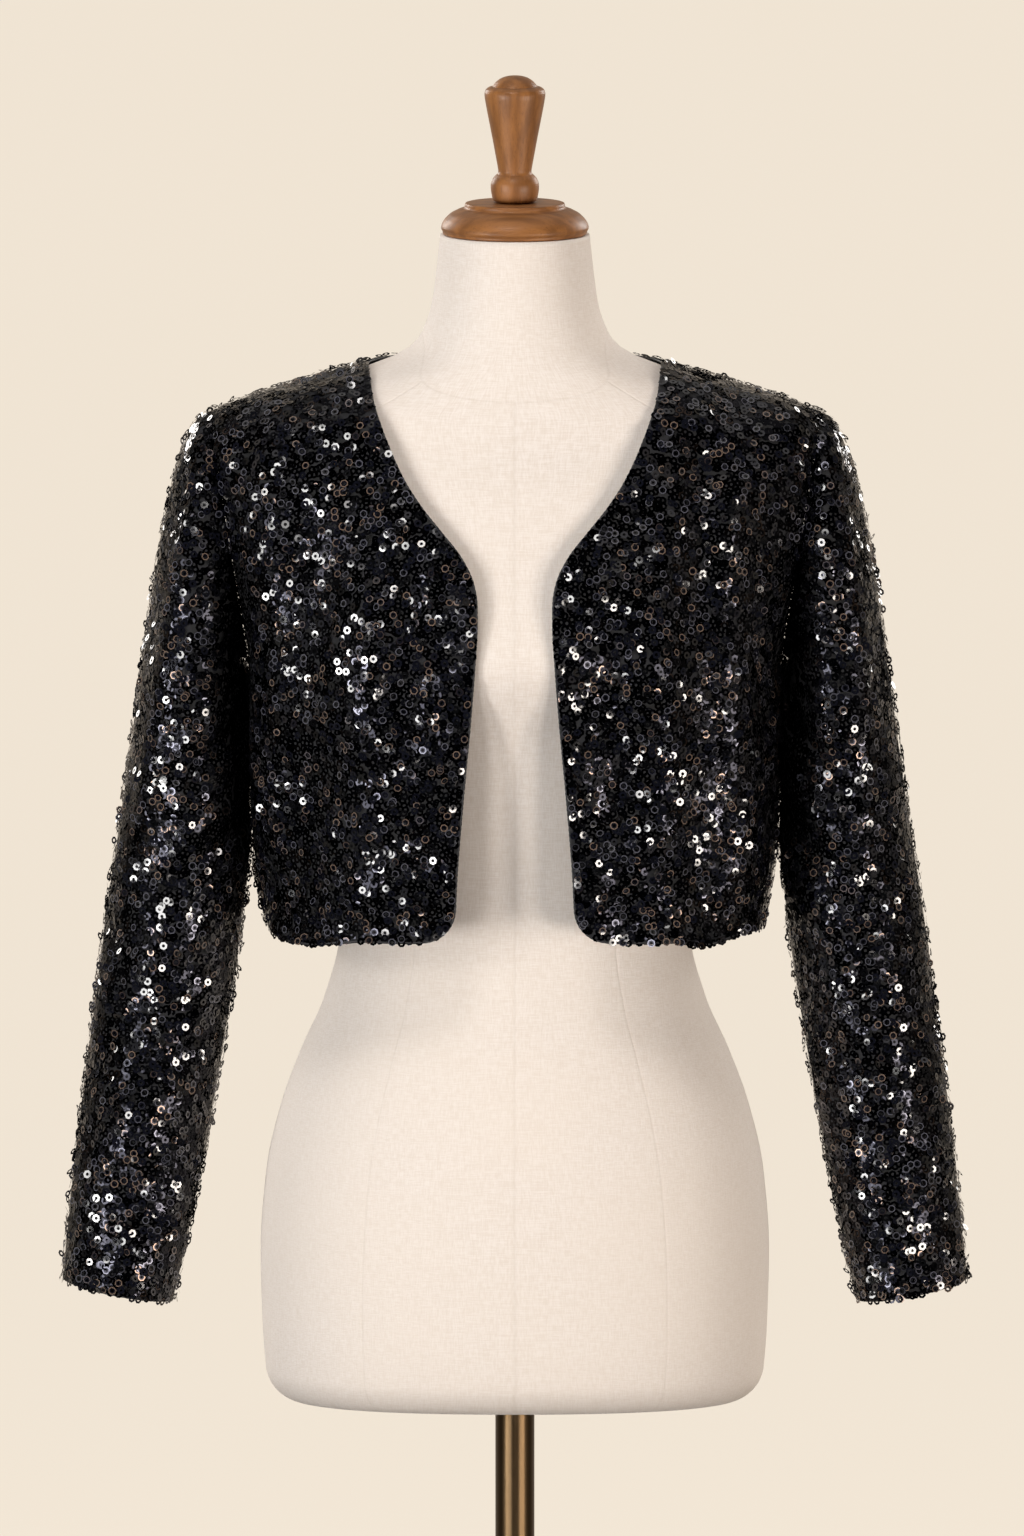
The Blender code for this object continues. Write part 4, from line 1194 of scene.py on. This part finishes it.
# %% Linen
THREADS = [
    # changes in a metre along each thread direction, share of the weave's height
    ((1700, 170, 1), 0.34),
    ((170, 1700, 1), 0.34),
    ((620, 60, 1), 0.16),
    ((60, 620, 1), 0.16),
]
LINEN_SHADE, LINEN_LIGHT = (0.725, 0.643, 0.573, 1), (0.818, 0.752, 0.700, 1)
LINEN_CLOUD, LINEN_SEAM = (0.80, 0.71, 0.62, 1), (0.50, 0.42, 0.34, 1)


def linen_threads(tree):
    """Height of the weave from 0 to 1: the fine warp and weft, and thicker slubs in both."""
    laid = node(tree, "ShaderNodeUVMap", {"uv_map": "UVMap"})
    threads = 0.0
    for scale, share in THREADS:
        stretched = node(tree, "ShaderNodeMapping", {}, laid, Scale=scale)
        slubs = node(tree, "ShaderNodeTexNoise", {"noise_dimensions": "2D"}, stretched, Scale=1.0, Detail=2.0)
        threads = slubs * share + threads
    return threads


def linen_colour(tree):
    threads = linen_threads(tree)
    place = node(tree, "ShaderNodeTexCoord", {}, output=3)
    cloud = node(tree, "ShaderNodeTexNoise", {}, place, Scale=7.0, Detail=2.0)
    cloth = mix_colour(tree, threads.ramp(0.36, 0.64), LINEN_SHADE, LINEN_LIGHT)
    cloth = mix_colour(tree, cloud.ramp(0.3, 0.7) * 0.35, cloth, LINEN_CLOUD)
    return mix_colour(tree, mark(tree, "seam") * 0.14, cloth, LINEN_SEAM)


def linen_bump(tree):
    return node(tree, "ShaderNodeBump", {}, Strength=0.6, Distance=0.0005, Height=linen_threads(tree))


LINEN = finish("natural_linen", linen_colour, Roughness=0.9, Normal=linen_bump, Sheen_Weight=0.15)

half_turn = np.pi / 2 - np.abs(np.mod(TURNS, np.pi) - np.pi / 2)
from_middle = np.where(np.cos(TURNS) > 0, 1, -1) * (np.pi / 2 - half_turn)
around = from_middle[None] * np.hypot(TORSO[..., 0], TORSO[..., 1])
laid_flat = np.stack([around, TORSO[..., 2] + 0 * around], axis=-1) * MM
torso = new_piece(
    "torso_linen",
    TORSO,
    grid_quads(*TORSO.shape[:2], closed=True)[:, ::-1],
    LINEN,
    weld=0.02,
    laid=laid_flat,
    marks={"seam": SEAMED},
)
placed(torso, "linen", "form_body")

# %% [markdown]
# ## Turned wood and metal
# The cap, the handle, the pole and the base are turned pieces. Each is a profile carried once round the
# middle. Cutting the corners of the profile three times rounds its edges, as sanding does.


# %% Turned pieces
TURNED_STEPS = 96
CAP_PROFILE = [
    (0, 1541.0),
    (33.5, 1541.0),
    (34.6, 1540.2),
    (34.6, 1537.2),
    (38.5, 1536.4),
    (44.5, 1533.4),
    (48.8, 1529.2),
    (50.8, 1525.4),
    (51.0, 1522.8),
    (49.6, 1521.4),
    (49.9, 1519.1),
    (0, 1519.1),
]
HANDLE_PROFILE = [
    (0, 1629.0),
    (6.5, 1628.4),
    (11.5, 1626.1),
    (14.8, 1622.6),
    (15.6, 1621.0),
    (16.2, 1621.4),
    (19.2, 1620.4),
    (20.8, 1618.3),
    (21.1, 1615.5),
    (20.5, 1611.6),
    (19.4, 1605.4),
    (15.4, 1584.9),
    (11.8, 1565.4),
    (11.2, 1561.3),
    (13.6, 1559.9),
    (16.2, 1556.2),
    (16.9, 1552.1),
    (16.0, 1545.9),
    (14.8, 1541.3),
    (0, 1541.3),
]
POLE_PROFILE = [(0, 779.7), (13.5, 779.7), (13.5, 6.3), (0, 6.3)]
BASE_PROFILE = [
    (0, 6),
    (13.8, 6),
    (13.8, 34),
    (20, 34),
    (22.5, 31.5),
    (24, 19),
    (31, 13),
    (90, 9.5),
    (150, 7.5),
    (172, 6),
    (178.6, 4.2),
    (180, 2.4),
    (180, 0),
    (0, 0),
]


def rounded(profile, reach):
    """A profile with each corner cut back by reach, or a third of its shorter side, and cut twice again."""
    for _ in range(3):
        ahead = np.diff(profile, axis=0)
        length = np.linalg.norm(ahead, axis=1, keepdims=True)
        back = np.minimum(reach, length / 3)
        starts, ends = profile[:-1] + ahead / length * back, profile[1:] - ahead / length * back
        inner = np.stack([starts, ends], axis=1).reshape(-1, 2)[1:-1]
        profile = np.concatenate([profile[:1], inner, profile[-1:]])
        reach = reach / 2.5
    return profile


def turned(name, profile, reach, material, slot, cad_node):
    """A profile of radius and height, down the outer side, turned once round the middle."""
    radius, z = rounded(np.array(profile, float), reach).T
    turn = np.linspace(0, 2 * np.pi, TURNED_STEPS, endpoint=False)
    radius, z, turn = radius[:, None], z[:, None], turn[None]
    points = np.stack([radius * np.cos(turn), radius * np.sin(turn), z + 0 * turn], axis=-1)
    faces = grid_quads(*points.shape[:2], closed=True)[:, ::-1]
    return placed(new_piece(name, points, faces, material, weld=0.001), slot, cad_node)


# %% Wood and bronze
WOOD_DARK, WOOD_LIGHT = (0.205, 0.080, 0.022, 1), (0.325, 0.132, 0.037, 1)
WOOD_PORE = (0.120, 0.045, 0.016, 1)
BRONZE_DARK, BRONZE_LIGHT = (0.052, 0.032, 0.015, 1), (0.086, 0.055, 0.028, 1)
VARNISH = {"Roughness": 0.48, "Coat_Weight": 0.15, "Coat_Roughness": 0.30, "Specular_IOR_Level": 0.30}


def wood_grain(tree, stretch):
    """Height of the grain: noise drawn out along the wood's length, with finer pores."""
    place = node(tree, "ShaderNodeTexCoord", {}, output=3)
    drawn = node(tree, "ShaderNodeMapping", {}, place, Scale=stretch)
    bands = node(tree, "ShaderNodeTexNoise", {}, drawn, Scale=1.0, Detail=5.0, Distortion=0.25)
    pores = node(tree, "ShaderNodeMapping", {}, place, Scale=[s * 9 for s in stretch])
    pores = node(tree, "ShaderNodeTexNoise", {}, pores, Scale=1.0, Detail=2.0)
    return bands, pores


def wood_finish(name, stretch):
    """Mid-brown wood with the grain drawn out as stretch says, under a satin varnish."""

    def colour(tree):
        bands, pores = wood_grain(tree, stretch)
        wood = mix_colour(tree, bands.ramp(0.32, 0.68), WOOD_DARK, WOOD_LIGHT)
        return mix_colour(tree, pores.ramp(0.54, 0.72) * 0.45, wood, WOOD_PORE)

    def bump(tree):
        bands, pores = wood_grain(tree, stretch)
        return node(tree, "ShaderNodeBump", {}, Strength=0.25, Distance=0.0003, Height=bands + pores * 0.5)

    return finish(name, colour, Normal=bump, **VARNISH)


def bronze_colour(tree):
    place = node(tree, "ShaderNodeTexCoord", {}, output=3)
    drawn = node(tree, "ShaderNodeMapping", {}, place, Scale=(900, 900, 12))
    lines = node(tree, "ShaderNodeTexNoise", {}, drawn, Scale=1.0, Detail=2.0)
    return mix_colour(tree, lines, BRONZE_DARK, BRONZE_LIGHT)


def bronze_roughness(tree):
    place = node(tree, "ShaderNodeTexCoord", {}, output=3)
    drawn = node(tree, "ShaderNodeMapping", {}, place, Scale=(1200, 1200, 20))
    return node(tree, "ShaderNodeTexNoise", {}, drawn, Scale=1.0, Detail=2.0) * 0.12 + 0.26


ALONG_UP, ALONG_ACROSS = (160, 160, 12), (14, 160, 160)
BRONZE = finish("bronze_lacquer", bronze_colour, Roughness=bronze_roughness, Metallic=0.95)
turned("cap_wood", CAP_PROFILE, 1.0, wood_finish("wood_flat", ALONG_ACROSS), "walnut", "neck_cap")
turned("handle_wood", HANDLE_PROFILE, 1.6, wood_finish("wood_upright", ALONG_UP), "walnut", "handle")
turned("pole_bronze", POLE_PROFILE, 0.6, BRONZE, "bronze", "pole")
turned("base_bronze", BASE_PROFILE, 1.2, BRONZE, "bronze", "base")

# %% [markdown]
# ## What each sheet was cut to

# %% Reading the flat cuts
for name, net in NETS.items():
    width, length, area = FLAT_CUTS[name]
